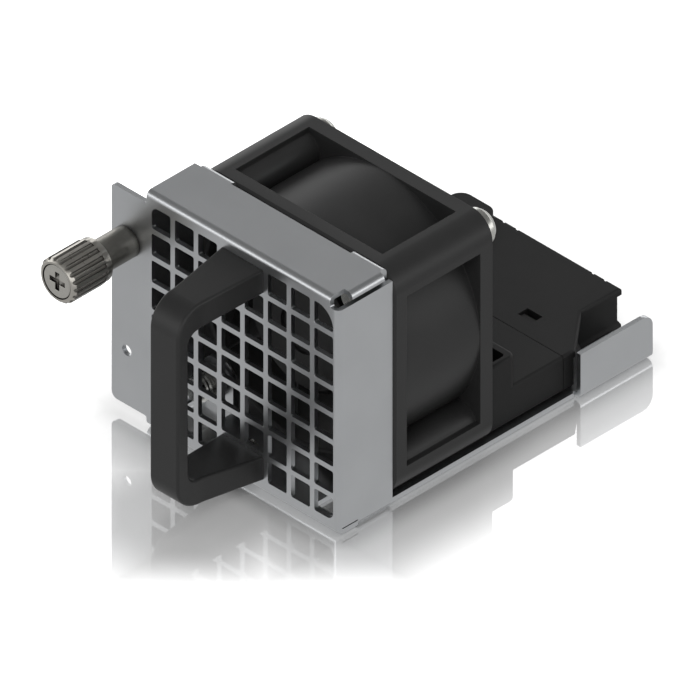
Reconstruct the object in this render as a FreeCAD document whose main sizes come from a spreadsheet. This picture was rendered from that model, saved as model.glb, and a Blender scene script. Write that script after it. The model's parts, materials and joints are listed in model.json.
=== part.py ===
import FreeCAD, Part
import math
import os
from types import SimpleNamespace

import Sketcher

# Hot-swappable fan module: a folded tray with a punched front, a pull handle, a captive thumbscrew,
# a 40 mm axial fan and a two-piece connector housing at the rear.
# Lengths are millimetres. X runs across, Y runs from the front plate to the connector, Z is up.
# The origin lies on the rear face of the front plate, on the fan's centre line, under the tray.

SIZES = {
    # Folded tray
    "sheet_t": 0.8,
    "bend_inner": 0.2,
    "box_half_w": 19.6,
    "box_top": 41.45,
    "tray_back": 62.9,
    "top_flange_back": 9.1,
    "side_flange_top": 39.55,
    "side_flange_bottom": 0.6,
    "side_flange_back": 10.25,
    "corner_foot_back": 3.2,
    "lip_front": 2.1,
    "lip_back": 8.7,
    "lip_bottom": 40.35,
    "corner_relief_w": 1.7,
    "left_wall_back": 10.1,
    "left_wall_top": 40.15,
    "floor_window_front": 1.8,
    # Grille
    "window": 3.85,
    "window_pitch": 4.745,
    "window_bottom": 2.2,
    "corner_window_r": 1.3,
    "right_top_window_r": 3.3,
    # Ear
    "ear_w": 7.1,
    "ear_bottom": 1.65,
    "ear_top": 39.35,
    "ear_top_r": 0.6,
    "ear_bottom_r": 1.1,
    "key_hole_r": 0.925,
    "key_hole_from_edge": 3.1,
    "key_hole_z": 11.25,
    # Tabs that carry the fan
    "tab_inner_x": 12.2,
    "tab_outer_x": 18.35,
    "tab_end_r": 3.75,
    "tab_side_r": 2.2,
    "nut_r": 2.8,
    "nut_len": 1.7,
    "nut_side_gap": 0.1,
    # Rear side walls
    "rear_wall_half_w": 20.1,
    "rear_wall_front": 48.15,
    "rear_wall_top": 7.85,
    "rear_wall_r": 2.0,
    "rear_wall_low_top": 6.85,
    "wall_relief": 0.4,
    "wall_relief_deep": 0.3,
    "notch_front": 56.2,
    "notch_gap": 0.25,
    "hole_gap": 0.15,
    # Fan frame
    "fan_size": 40.0,
    "fan_depth": 20.0,
    "fan_front": 10.3,
    "fan_corner_r": 4.0,
    "fan_flange_t": 2.5,
    "fan_column": 5.0,
    "duct_r": 19.0,
    "duct_wall": 0.9,
    "fan_hole_half_pitch": 16.0,
    "fan_hole_r": 2.15,
    "fan_boss_r": 3.2,
    "fan_edge_chamfer": 0.35,
    "motor_base_r": 11.2,
    "motor_base_t": 1.6,
    "strut_w": 1.6,
    "strut_deep": 3.0,
    "lead_strut_w": 3.4,
    # Fan screws
    "fan_screw_r": 2.0,
    "fan_screw_tip": 5.3,
    "fan_head_r": 3.0,
    "fan_head_t": 2.4,
    "fan_head_top_r": 2.3,
    "fan_head_crown": 0.9,
    "flat_head_r": 3.7,
    "flat_head_t": 1.7,
    "cross_len": 3.4,
    "cross_w": 0.65,
    "cross_deep": 1.0,
    # Motor and impeller
    "shaft_r": 1.0,
    "bearing_inner_r": 1.65,
    "bearing_outer_r": 3.0,
    "bearing_w": 2.3,
    "bearing_gap": 0.1,
    "tube_wall": 0.8,
    "tube_shoulder": 0.6,
    "fit": 0.02,
    "air_gap": 0.4,
    "magnet_t": 1.0,
    "yoke_t": 0.5,
    "hub_wall": 0.8,
    "hub_r": 10.5,
    "hub_front": 11.0,
    "hub_face_t": 1.2,
    "hub_back": 25.8,
    "hub_recess_r": 4.0,
    "hub_recess_deep": 0.5,
    "stator_t": 6.0,
    "stator_mid": 19.8,
    "stator_yoke_r": 4.6,
    "tooth_w": 3.0,
    "tooth_shoe_t": 0.9,
    "tooth_shoe_half_w": 4.6,
    "insulator_t": 0.7,
    "coil_grow": 0.9,
    "board_t": 1.0,
    "board_r": 9.8,
    "board_gap": 0.3,
    "blade_tip_gap": 0.6,
    "blade_front": 11.5,
    "blade_back": 25.1,
    "blade_t": 0.8,
    "blade_edge_t": 0.32,
    "blade_lean_root": 30.0,
    "blade_lean_tip": 52.0,
    "blade_bow": 1.3,
    "blade_sink": 0.3,
    "blade_overrun": 2.0,
    "blade_count": 7,
    "tube_floor": 0.8,
    "tube_front": 14.8,
    "face_gap": 0.05,
    "bearing_inset": 0.2,
    "bearing_spacing": 7.4,
    "insulator_edge": 0.3,
    "insulator_step": 0.3,
    "coil_gap": 0.1,
    "board_front": 26.1,
    "shoe_slot": 1.6,
    "hub_edge": 0.8,
    "yoke_inset": 0.6,
    "washer_t": 0.3,
    "bush_r": 2.2,
    "magnet_over": 1.5,
    "shaft_end": 1.0,
    # Pull handle
    "grip_mid": 20.75,
    "foot_half_h": 18.6,
    "foot_inner_half_h": 14.4,
    "grip_front": 16.9,
    "grip_back": 14.6,
    "grip_half_h": 17.35,
    "grip_inner_half_h": 12.96,
    "grip_r": 4.7,
    "grip_inner_r": 2.0,
    "foot_half_w": 4.3,
    "grip_half_w": 2.9,
    "taper_end": 11.8,
    "taper_blend_r": 15.0,
    "handle_edge_r": 0.45,
    "handle_screw_r": 1.25,
    "handle_screw_len": 7.8,
    "handle_head_r": 2.2,
    "handle_head_t": 1.2,
    "handle_cross_len": 2.5,
    "handle_cross_deep": 0.6,
    # Captive thumbscrew
    "thumb_x": 23.5,
    "thumb_z": 30.65,
    "sleeve_r": 2.55,
    "sleeve_front": 7.9,
    "sleeve_lip": 0.8,
    "sleeve_lip_r": 1.25,
    "sleeve_bore_r": 1.7,
    "sleeve_press_r": 2.1,
    "knob_front": 15.25,
    "knob_back": 7.3,
    "knob_r": 3.69,
    "knob_collar_r": 3.55,
    "knob_collar_len": 1.1,
    "knob_chamfer_r": 3.18,
    "knob_chamfer_len": 0.5,
    "knob_bore_gap": 0.1,
    "knob_recess_r": 2.85,
    "knob_recess_deep": 0.75,
    "knob_face_t": 0.75,
    "flute_count": 18,
    "flute_r": 0.35,
    "disc_r": 2.7,
    "disc_t": 0.65,
    "disc_cross_len": 3.1,
    "disc_cross_w": 0.85,
    "disc_cross_deep": 0.5,
    "captive_shank_r": 1.1,
    "captive_thread_r": 1.5,
    "captive_tip": 0.5,
    "spring_wire": 0.26,
    "spring_r": 1.85,
    "spring_turns": 4.0,
    "spring_end_gap": 0.05,
    "thread_gap": 0.1,
    "captive_end_inset": 0.2,
    "screw_tip_gap": 0.5,
    # Rear housings
    "cover_front": 30.6,
    "cover_back": 46.6,
    "cover_half_w": 18.1,
    "cover_top": 7.25,
    "cover_wall": 1.2,
    "skirt_gap": 0.55,
    "entry_inner_x": 10.1,
    "entry_back": 37.1,
    "entry_top": 12.55,
    "entry_side_wall": 1.0,
    "entry_back_wall": 1.4,
    "entry_r": 1.3,
    "rim_r": 0.5,
    "joint_gap": 0.1,
    "housing_back": 64.8,
    "housing_wide_back": 49.05,
    "housing_neck_front": 56.5,
    "neck_left": 15.15,
    "neck_right": 11.85,
    "lip_t": 1.2,
    "lip_over": 0.45,
    "neck_notch_w": 0.75,
    "neck_notch_deep": 0.5,
    "snap_left": 5.85,
    "snap_right": 8.9,
    "snap_front": 49.6,
    "snap_len": 2.0,
    "hook_len": 1.0,
    "hook_side_gap": 0.3,
    "hood_left": 21.0,
    "hood_right": 13.2,
    "hood_front": 55.5,
    "hood_top": 8.25,
    "hood_r": 2.0,
    "hood_gap": 0.2,
    "boss_inset": 3.6,
    "base_screw_x": 9.5,
    "boss_r": 2.0,
    "flare_top": 1.6,
    "flare_inset": 0.05,
    "flare_angle": 29.0,
    "hood_bottom": 3.35,
    "notch_outer_left": 12.0,
    "notch_inner_left": 9.3,
    "notch_inner_right": 6.2,
    "notch_outer_right": 8.7,
    "base_t": 0.8,
    "rib_x": 6.5,
    "rib_w": 1.2,
    "rib_h": 0.6,
    "pcb_front": 55.1,
    "pcb_back": 60.8,
    "pcb_half_w": 8.2,
    "contact_inset": 0.6,
    "contact_room": 0.5,
    "mouth_half_w": 9.0,
    "mouth_top": 5.6,
    "contact_count": 6,
    "contact_pitch": 2.6,
    "contact_w": 1.0,
    "contact_t": 0.3,
    "pcb_t": 1.0,
    "housing_screw_r": 1.0,
    "housing_head_r": 1.85,
    "housing_screw_len": 4.6,
}


class Dim(float):
    """A length in millimetres that keeps the sheet expression it comes from."""

    def __new__(cls, value, text):
        dim = float.__new__(cls, value)
        dim.text = text
        return dim

    def __add__(self, other):
        return Dim(float(self) + float(other), f"({self.text} + {text_of(other)})")

    def __radd__(self, other):
        return Dim(float(other) + float(self), f"({text_of(other)} + {self.text})")

    def __sub__(self, other):
        return Dim(float(self) - float(other), f"({self.text} - {text_of(other)})")

    def __rsub__(self, other):
        return Dim(float(other) - float(self), f"({text_of(other)} - {self.text})")

    def __mul__(self, other):
        return Dim(float(self) * float(other), f"({self.text} * {text_of(other)})")

    def __rmul__(self, other):
        return Dim(float(other) * float(self), f"({text_of(other)} * {self.text})")

    def __truediv__(self, other):
        return Dim(float(self) / float(other), f"({self.text} / {text_of(other)})")

    def __neg__(self):
        return Dim(-float(self), f"(-1 * {self.text})")


def text_of(value):
    """The expression of a length, or its plain number."""
    return getattr(value, "text", repr(float(value)))


doc = FreeCAD.newDocument("FanModule")
sheet = doc.addObject("Spreadsheet::Sheet", "Sizes")
for row, (alias, number) in enumerate(SIZES.items(), start=1):
    sheet.set(f"A{row}", alias)
    sheet.set(f"B{row}", str(number))
    sheet.setAlias(f"B{row}", alias)
doc.recompute()
s = SimpleNamespace(**{alias: Dim(sheet.get(alias), f"Sizes.{alias}") for alias in SIZES})

parts = {}
ZERO = Dim(0.0, "0")
EPS = Dim(0.01, "0.01")
OVER = Dim(1.0, "1.0")
GRID = 8


def bind(thing, name, value):
    """Set one numeric property and tie it to the sheet."""
    if "." not in name:
        setattr(thing, name, float(value))
    if hasattr(value, "text"):
        thing.setExpression(name, value.text)


def keep(label, thing):
    """Name a finished sub-part; its label names its file."""
    thing.Label = label
    parts[label] = thing
    return thing


def new_body(label):
    """A PartDesign body for one sub-part."""
    body = doc.addObject("PartDesign::Body", label + "_body")
    return keep(label, body)


def origin_of(body, role):
    """The origin plane or axis of a body with this role."""
    return next(part for part in body.Origin.OriginFeatures if part.Role == role)


def new_sketch(body, role, level):
    """A sketch on an origin plane of the body, moved along world +X, +Y or +Z to this level."""
    sketch = body.newObject("Sketcher::SketchObject", body.Name + "_sketch")
    sketch.AttachmentSupport = [(origin_of(body, role), "")]
    sketch.MapMode = "FlatFace"
    offset = -level if role == "XZ_Plane" else level
    sketch.AttachmentOffset = FreeCAD.Placement(FreeCAD.Vector(0, 0, float(offset)), FreeCAD.Rotation())
    if hasattr(offset, "text"):
        sketch.setExpression(".AttachmentOffset.Base.z", offset.text)
    return sketch


def tie_constraints(sketch, rules):
    """Add constraints in one go and bind the driven ones to the sheet."""
    first = sketch.ConstraintCount
    sketch.addConstraint([rule for rule, value in rules])
    for index, (rule, value) in enumerate(rules, start=first):
        if hasattr(value, "text"):
            sketch.setExpression(f"Constraints[{index}]", value.text)


def outline(sketch, corners):
    """Draw a closed outline; each corner is (x, y) or (x, y, radius of its tangent arc)."""
    points = [(corner[0], corner[1], corner[2] if len(corner) > 2 else 0.0) for corner in corners]
    count = len(points)
    spots = [FreeCAD.Vector(float(x), float(y), 0) for x, y, radius in points]
    ends = []
    for index, (x, y, radius) in enumerate(points):
        spot = spots[index]
        back = (spots[index - 1] - spot).normalize()
        ahead = (spots[(index + 1) % count] - spot).normalize()
        half = back.getAngle(ahead) / 2
        reach = float(radius) / math.tan(half) if radius else 0.0
        ends.append((spot + back * reach, spot + ahead * reach, back, ahead, half))
    base = sketch.GeometryCount
    lines = [Part.LineSegment(ends[i][1], ends[(i + 1) % count][0]) for i in range(count)]
    sketch.addGeometry(lines, False)
    rules = []
    for index, (x, y, radius) in enumerate(points):
        before = base + (index - 1) % count
        after = base + index
        if not radius:
            rules.append((Sketcher.Constraint("Coincident", before, 2, after, 1), None))
            rules.append((Sketcher.Constraint("DistanceX", after, 1, float(x)), x))
            rules.append((Sketcher.Constraint("DistanceY", after, 1, float(y)), y))
            continue
        start, stop, back, ahead, half = ends[index]
        centre = spots[index] + (back + ahead).normalize() * (float(radius) / math.sin(half))
        middle = centre + (spots[index] - centre).normalize() * float(radius)
        arc_shape = Part.Arc(start, middle, stop)
        arc = sketch.addGeometry(arc_shape, False)
        pin = sketch.addGeometry(Part.Point(spots[index]), True)
        flipped = (sketch.getPoint(arc, 1) - start).Length > EPS
        first, last = (2, 1) if flipped else (1, 2)
        rules.append((Sketcher.Constraint("Tangent", before, 2, arc, first), None))
        rules.append((Sketcher.Constraint("Tangent", arc, last, after, 1), None))
        rules.append((Sketcher.Constraint("PointOnObject", pin, 1, before), None))
        rules.append((Sketcher.Constraint("PointOnObject", pin, 1, after), None))
        rules.append((Sketcher.Constraint("Radius", arc, float(radius)), radius))
        rules.append((Sketcher.Constraint("DistanceX", pin, 1, float(x)), x))
        rules.append((Sketcher.Constraint("DistanceY", pin, 1, float(y)), y))
    tie_constraints(sketch, rules)


def circle(sketch, x, y, radius):
    """Draw a circle with its centre and radius tied to the sheet."""
    shape = Part.Circle(FreeCAD.Vector(float(x), float(y), 0), FreeCAD.Vector(0, 0, 1), float(radius))
    index = sketch.addGeometry(shape, False)
    rules = [
        (Sketcher.Constraint("DistanceX", index, 3, float(x)), x),
        (Sketcher.Constraint("DistanceY", index, 3, float(y)), y),
        (Sketcher.Constraint("Radius", index, float(radius)), radius),
    ]
    tie_constraints(sketch, rules)


def box_outline(x0, y0, x1, y1, radius=0.0):
    """The four corners of a rectangle."""
    return [(x0, y0, radius), (x1, y0, radius), (x1, y1, radius), (x0, y1, radius)]


def extrude(body, kind, role, low, high, outlines=(), circles=()):
    """Pad or pocket sketched outlines between two levels along the plane's world axis."""
    adds = kind == "Pad"
    start = high if adds == (role == "XZ_Plane") else low
    before = body.Shape.Volume if body.Tip else 0.0
    sketch = new_sketch(body, role, start)
    for corners in outlines:
        outline(sketch, corners)
    for spot in circles:
        circle(sketch, *spot)
    feature = body.newObject("PartDesign::" + kind, body.Name + "_" + kind)
    feature.Profile = sketch
    bind(feature, "Length", high - low)
    doc.recompute()
    grown = body.Shape.Volume - before
    if grown * (1 if adds else -1) <= 0:
        raise RuntimeError(f"{feature.Name} of {body.Label} changed the volume by {grown}")
    return feature


def pad(body, role, low, high, outlines=(), circles=()):
    """Add material between two levels."""
    return extrude(body, "Pad", role, low, high, outlines, circles)


def pocket(body, role, low, high, outlines=(), circles=()):
    """Cut material between two levels."""
    return extrude(body, "Pocket", role, low, high, outlines, circles)


def spin(body, kind, corners, role="XY_Plane", axis="Y_Axis"):
    """Revolve or groove an outline a full turn about an origin axis of the body."""
    sketch = new_sketch(body, role, 0.0)
    outline(sketch, corners)
    feature = body.newObject("PartDesign::" + kind, body.Name + "_" + kind)
    feature.Profile = sketch
    feature.ReferenceAxis = (origin_of(body, axis), [""])
    feature.Angle = 360
    doc.recompute()
    return feature


def repeat(body, kind, feature, axis, **values):
    """Pattern or mirror a feature and make the result the body's tip."""
    pattern = body.newObject("PartDesign::" + kind, body.Name + "_" + kind)
    pattern.Originals = [feature]
    target = (origin_of(body, axis), [""])
    if kind == "LinearPattern":
        pattern.Direction = target
    elif kind == "PolarPattern":
        pattern.Axis = target
    else:
        pattern.MirrorPlane = target
    for name, value in values.items():
        if name == "Occurrences":
            pattern.Occurrences = int(value)
        else:
            bind(pattern, name, value)
    body.Tip = pattern
    doc.recompute()
    return pattern


def edges_where(shape, test):
    """Names of the edges whose middle point and direction pass the test."""
    found = []
    for index, edge in enumerate(shape.Edges, start=1):
        middle = edge.valueAt((edge.FirstParameter + edge.LastParameter) / 2)
        if test(edge, middle):
            found.append(f"Edge{index}")
    return found


def round_edges(body, kind, size, test):
    """Fillet or chamfer the edges of a body that pass the test."""
    names = edges_where(body.Shape, test)
    if not names:
        raise RuntimeError(f"no edge to round on {body.Label}")
    base = body.Tip
    feature = body.newObject("PartDesign::" + kind, body.Name + "_" + kind)
    feature.Base = (base, names)
    bind(feature, "Radius" if kind == "Fillet" else "Size", size)
    doc.recompute()
    return feature


def near(value, target):
    """Whether two lengths agree."""
    return abs(value - float(target)) < EPS


def along(edge, axis):
    """Whether a straight edge runs along X, Y or Z (0, 1 or 2)."""
    if edge.Curve.TypeId != "Part::GeomLine":
        return False
    return abs(edge.Curve.Direction[axis]) > 1 - EPS


# Levels that several pieces share
bend_outer = s.bend_inner + s.sheet_t
fan_back = s.fan_front + s.fan_depth
fan_mid_z = s.sheet_t + s.fan_size / 2
hole_low_z = fan_mid_z - s.fan_hole_half_pitch
hole_high_z = fan_mid_z + s.fan_hole_half_pitch
ear_left = s.box_half_w + s.ear_w
skirt_bottom = s.sheet_t + s.skirt_gap
base_top = s.sheet_t + s.base_t


def window_column(body, column, rows, count, radii=None):
    """Punch one column of square windows in the front plate, and its copies to the right."""
    left = s.window_pitch * (column - (GRID + 1) / 2) - s.window / 2
    frames = []
    for row in rows:
        low = s.window_bottom + s.window_pitch * row
        frames.append(box_outline(left, low, left + s.window, low + s.window))
    for (index, corner), radius in (radii or {}).items():
        frame = frames[index]
        frame[corner] = (frame[corner][0], frame[corner][1], radius)
    column_cut = pocket(body, "XZ_Plane", -s.sheet_t - OVER, OVER, frames)
    if count > 1:
        spread = s.window_pitch * (count - 1)
        repeat(body, "LinearPattern", column_cut, "X_Axis", Length=spread, Occurrences=count)


def make_chassis():
    """The tray: one sheet folded into grille front, flanges, ear, fan tabs, floor and rear walls."""
    body = new_body("chassis")
    plate_front = -s.sheet_t
    right = s.box_half_w - bend_outer
    floor_half = s.rear_wall_half_w - bend_outer
    strip = [
        (s.top_flange_back, s.box_top),
        (plate_front, s.box_top, bend_outer),
        (plate_front, ZERO, bend_outer),
        (s.tray_back, ZERO),
        (s.tray_back, s.sheet_t),
        (ZERO, s.sheet_t, s.bend_inner),
        (ZERO, s.box_top - s.sheet_t, s.bend_inner),
        (s.top_flange_back, s.box_top - s.sheet_t),
    ]
    pad(body, "YZ_Plane", -s.box_half_w, right, [strip])
    # Ear beside the grille
    ear = [
        (-ear_left, s.ear_bottom, s.ear_bottom_r),
        (-s.box_half_w + OVER, s.ear_bottom),
        (-s.box_half_w + OVER, s.ear_top),
        (-ear_left, s.ear_top, s.ear_top_r),
    ]
    pad(body, "XZ_Plane", plate_front, ZERO, [ear])
    # Lower right corner of the front, bent up from a foot on the floor and rounded like the flange
    corner_foot = [
        (plate_front, bend_outer + OVER),
        (plate_front, ZERO, bend_outer),
        (s.corner_foot_back, ZERO),
        (s.corner_foot_back, s.sheet_t),
        (ZERO, s.sheet_t, s.bend_inner),
        (ZERO, bend_outer + OVER),
    ]
    pad(body, "YZ_Plane", right - OVER, s.box_half_w, [corner_foot])
    corner_edge = [
        (right - OVER, plate_front - OVER),
        (s.box_half_w + OVER, plate_front - OVER),
        (s.box_half_w + OVER, bend_outer + OVER),
        (s.box_half_w, bend_outer + OVER),
        (s.box_half_w, plate_front, bend_outer),
        (right - OVER, plate_front),
    ]
    pocket(body, "XY_Plane", -OVER, bend_outer + OVER, [corner_edge])
    # Right flange, folded back from the front plate above a thin seam
    flange = [
        (right - OVER, plate_front),
        (s.box_half_w, plate_front, bend_outer),
        (s.box_half_w, s.side_flange_back),
        (s.box_half_w - s.sheet_t, s.side_flange_back),
        (s.box_half_w - s.sheet_t, ZERO, s.bend_inner),
        (right - OVER, ZERO),
    ]
    pad(body, "XY_Plane", bend_outer, s.side_flange_top, [flange])
    # Its lower end, which hangs beside the floor's edge
    foot = box_outline(s.box_half_w - s.sheet_t, s.corner_foot_back, s.box_half_w, s.side_flange_back)
    pad(body, "XY_Plane", s.side_flange_bottom, bend_outer + OVER, [foot])
    # Lip turned down from the top flange, over the right flange
    lip = [
        (right - OVER, s.box_top),
        (s.box_half_w, s.box_top, bend_outer),
        (s.box_half_w, s.lip_bottom),
        (s.box_half_w - s.sheet_t, s.lip_bottom),
        (s.box_half_w - s.sheet_t, s.box_top - s.sheet_t, s.bend_inner),
        (right - OVER, s.box_top - s.sheet_t),
    ]
    pad(body, "XZ_Plane", s.lip_front, s.lip_back, [lip])
    relief = box_outline(
        s.box_half_w - s.corner_relief_w, plate_front - OVER, s.box_half_w + OVER, s.lip_front
    )
    pocket(body, "XY_Plane", s.side_flange_top, s.box_top + OVER, [relief])
    # Floor at its own width behind the flange and behind the left wall
    wide = box_outline(right - OVER, s.side_flange_back + s.bend_inner / 2, floor_half, s.tray_back)
    pad(body, "XY_Plane", ZERO, s.sheet_t, [wide])
    trim = box_outline(-s.box_half_w - OVER, s.left_wall_back, -floor_half, s.tray_back + OVER)
    pocket(body, "XY_Plane", -OVER, s.sheet_t + OVER, [trim])
    # Left wall, folded up from the floor behind the front plate
    wall_front = s.bend_inner
    strip_cut = box_outline(-s.box_half_w - OVER, wall_front, -right, s.left_wall_back + s.bend_inner / 2)
    pocket(body, "XY_Plane", -OVER, s.sheet_t + OVER, [strip_cut])
    wall = [
        (-right + OVER, ZERO),
        (-s.box_half_w, ZERO, bend_outer),
        (-s.box_half_w, s.left_wall_top),
        (-s.box_half_w + s.sheet_t, s.left_wall_top),
        (-s.box_half_w + s.sheet_t, s.sheet_t, s.bend_inner),
        (-right + OVER, s.sheet_t),
    ]
    pad(body, "XZ_Plane", wall_front, s.left_wall_back, [wall])
    # Windows that the lower tabs are folded out of
    windows = []
    for side in (-1, 1):
        edges = sorted([side * s.tab_inner_x, side * s.tab_outer_x])
        windows.append(box_outline(edges[0], s.floor_window_front, edges[1], s.fan_front + s.bend_inner))
    pocket(body, "XY_Plane", -OVER, s.sheet_t + OVER, windows)
    tab_front = s.fan_front - s.sheet_t
    for side in (-1, 1):
        inner = side * s.tab_inner_x
        outer = side * s.tab_outer_x
        low_tab = [
            (tab_front, s.sheet_t + s.bend_inner + OVER),
            (tab_front, ZERO, bend_outer),
            (s.fan_front + s.bend_inner + OVER, ZERO),
            (s.fan_front + s.bend_inner + OVER, s.sheet_t),
            (s.fan_front, s.sheet_t, s.bend_inner),
            (s.fan_front, s.sheet_t + s.bend_inner + OVER),
        ]
        high_tab = [
            (tab_front, s.box_top - bend_outer - OVER),
            (tab_front, s.box_top - s.sheet_t, s.bend_inner),
            (s.top_flange_back - OVER, s.box_top - s.sheet_t),
            (s.top_flange_back - OVER, s.box_top),
            (s.fan_front, s.box_top, bend_outer),
            (s.fan_front, s.box_top - bend_outer - OVER),
        ]
        edges = sorted([inner, outer])
        pad(body, "YZ_Plane", edges[0], edges[1], [low_tab])
        pad(body, "YZ_Plane", edges[0], edges[1], [high_tab])
        tongues = [
            [
                (inner, s.sheet_t + s.bend_inner),
                (inner, hole_low_z + s.tab_end_r, s.tab_end_r),
                (outer, hole_low_z + s.tab_end_r, s.tab_side_r),
                (outer, s.sheet_t + s.bend_inner),
            ],
            [
                (inner, s.box_top - bend_outer),
                (inner, hole_high_z - s.tab_end_r, s.tab_end_r),
                (outer, hole_high_z - s.tab_end_r, s.tab_side_r),
                (outer, s.box_top - bend_outer),
            ],
        ]
        pad(body, "XZ_Plane", tab_front, s.fan_front, tongues)
    # Rear side walls on both edges of the floor, each behind a small bend relief
    for side in (-1, 1):
        edges = sorted([side * (floor_half - s.wall_relief_deep), side * (floor_half + OVER)])
        relief = box_outline(edges[0], s.rear_wall_front - s.wall_relief, edges[1], s.rear_wall_front)
        pocket(body, "XY_Plane", -OVER, s.sheet_t + OVER, [relief])
        wall = [
            (side * (floor_half - OVER), ZERO),
            (side * s.rear_wall_half_w, ZERO, bend_outer),
            (side * s.rear_wall_half_w, s.rear_wall_top),
            (side * (s.rear_wall_half_w - s.sheet_t), s.rear_wall_top),
            (side * (s.rear_wall_half_w - s.sheet_t), s.sheet_t, s.bend_inner),
            (side * (floor_half - OVER), s.sheet_t),
        ]
        pad(body, "XZ_Plane", s.rear_wall_front, s.tray_back, [wall])
    round_start = s.rear_wall_r + OVER
    corner = [
        (s.tray_back - round_start, s.rear_wall_top + OVER),
        (s.tray_back + OVER, s.rear_wall_top + OVER),
        (s.tray_back + OVER, s.rear_wall_top - round_start),
        (s.tray_back, s.rear_wall_top - round_start),
        (s.tray_back, s.rear_wall_top, s.rear_wall_r),
        (s.tray_back - round_start, s.rear_wall_top),
    ]
    pocket(body, "YZ_Plane", floor_half, s.rear_wall_half_w + OVER, [corner])
    low = box_outline(
        s.hood_front - s.hood_gap, s.rear_wall_low_top, s.tray_back + OVER, s.rear_wall_top + OVER
    )
    pocket(body, "YZ_Plane", -s.rear_wall_half_w - OVER, -floor_half, [low])
    # Notch in the floor's rear edge, where the connector base drops in
    notch = box_outline(
        -s.neck_left - s.notch_gap, s.notch_front, s.neck_right + s.notch_gap, s.tray_back + OVER
    )
    pocket(body, "XY_Plane", -OVER, s.sheet_t + OVER, [notch])
    # Grille windows; the two middle columns leave solid pads for the handle's feet
    all_rows = range(GRID)
    top_row = GRID - 1
    window_column(body, 1, all_rows, 1, {(0, 0): s.corner_window_r, (top_row, 3): s.corner_window_r})
    window_column(body, 2, all_rows, 2)
    window_column(body, 4, range(1, top_row), 2)
    window_column(body, 6, all_rows, 2)
    window_column(body, 8, all_rows, 1, {(0, 1): s.corner_window_r, (top_row, 2): s.right_top_window_r})
    # Holes for the handle screws, the thumbscrew and the key on the ear
    spots = [
        (ZERO, s.grip_mid - foot_screw_half, s.handle_screw_r + s.hole_gap),
        (ZERO, s.grip_mid + foot_screw_half, s.handle_screw_r + s.hole_gap),
        (-s.thumb_x, s.thumb_z, s.sleeve_press_r),
        (-ear_left + s.key_hole_from_edge, s.key_hole_z, s.key_hole_r),
    ]
    pocket(body, "XZ_Plane", plate_front - OVER, OVER, circles=spots)
    spots = [
        (side * s.fan_hole_half_pitch, level, s.fan_screw_r + s.hole_gap)
        for side in (-1, 1)
        for level in (hole_low_z, hole_high_z)
    ]
    pocket(body, "XZ_Plane", tab_front - EPS, s.fan_front + EPS, circles=spots)
    # Countersunk holes for the housing screws
    for x, y in housing_screw_spots():
        sink = body.newObject("PartDesign::SubtractiveCone", body.Name + "_countersink")
        put(sink, x, y, ZERO, FreeCAD.Rotation())
        bind(sink, "Radius1", s.housing_head_r + s.fit)
        bind(sink, "Radius2", s.housing_screw_r + s.hole_gap)
        bind(sink, "Height", s.sheet_t + EPS)
        doc.recompute()


def cylinder(x, y, z, radius, length, axis="Y"):
    """A cylinder along Y or Z that starts at this point."""
    part = doc.addObject("Part::Cylinder", "Cylinder")
    bind(part, "Radius", radius)
    bind(part, "Height", length)
    turn = FreeCAD.Rotation(FreeCAD.Vector(1, 0, 0), -90) if axis == "Y" else FreeCAD.Rotation()
    put(part, x, y, z, turn)
    return part


def cone(x, y, z, radius, end_radius, length, axis="Y"):
    """A cone along Y or Z from its first radius at this point to its end radius."""
    part = doc.addObject("Part::Cone", "Cone")
    bind(part, "Radius1", radius)
    bind(part, "Radius2", end_radius)
    bind(part, "Height", length)
    turn = FreeCAD.Rotation(FreeCAD.Vector(1, 0, 0), -90) if axis == "Y" else FreeCAD.Rotation()
    put(part, x, y, z, turn)
    return part


def box(x0, y0, z0, x1, y1, z1):
    """A block between two corners."""
    part = doc.addObject("Part::Box", "Box")
    bind(part, "Length", x1 - x0)
    bind(part, "Width", y1 - y0)
    bind(part, "Height", z1 - z0)
    put(part, x0, y0, z0, FreeCAD.Rotation())
    return part


def put(part, x, y, z, turn):
    """Place a primitive and tie its position to the sheet."""
    part.Placement = FreeCAD.Placement(FreeCAD.Vector(float(x), float(y), float(z)), turn)
    for axis, value in zip("xyz", (x, y, z)):
        if hasattr(value, "text"):
            part.setExpression(f".Placement.Base.{axis}", value.text)


def fuse(first, *others):
    """Join primitives into one solid."""
    joined = doc.addObject("Part::MultiFuse", "Fuse")
    joined.Shapes = [first, *others]
    joined.Refine = False
    return joined


def cut(first, *others):
    """Cut primitives out of a solid."""
    for other in others:
        result = doc.addObject("Part::Cut", "Cut")
        result.Base = first
        result.Tool = other
        first = result
    return first


def common(first, other):
    """Keep what two solids share."""
    shared = doc.addObject("Part::Common", "Common")
    shared.Base = first
    shared.Tool = other
    return shared


def ring(x, y, z, inner, outer, length):
    """A straight ring along Y."""
    core = cylinder(x, y - OVER, z, inner, length + 2 * OVER)
    return cut(cylinder(x, y, z, outer, length), core)


def cross_recess(x, face, z, length, width, deep):
    """The two arms of a cross recess, cut from a screw's face; the depth's sign says which way."""
    arm = length / 2
    thin = width / 2
    low, high = (face - OVER, face + deep) if deep > 0 else (face + deep, face + OVER)
    return fuse(
        box(x - arm, low, z - thin, x + arm, high, z + thin),
        box(x - thin, low, z - arm, x + thin, high, z + arm),
    )


def feature(label, shape):
    """A sub-part whose free-form shape is worked out from the sheet's values."""
    part = doc.addObject("Part::Feature", label + "_shape")
    part.Shape = shape
    return keep(label, part)


# Where the handle's screws and the housings' screws stand
foot_screw_half = (s.foot_half_h + s.foot_inner_half_h) / 2


def housing_screw_spots():
    """Plan positions of the screws that hold both rear housings on the tray."""
    inset = s.cover_half_w - s.boss_inset
    return [
        (-inset, s.cover_back - s.boss_inset),
        (inset, s.cover_back - s.boss_inset),
        (-s.base_screw_x, s.notch_front - s.boss_inset),
        (s.base_screw_x, s.notch_front - s.boss_inset),
    ]


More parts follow.
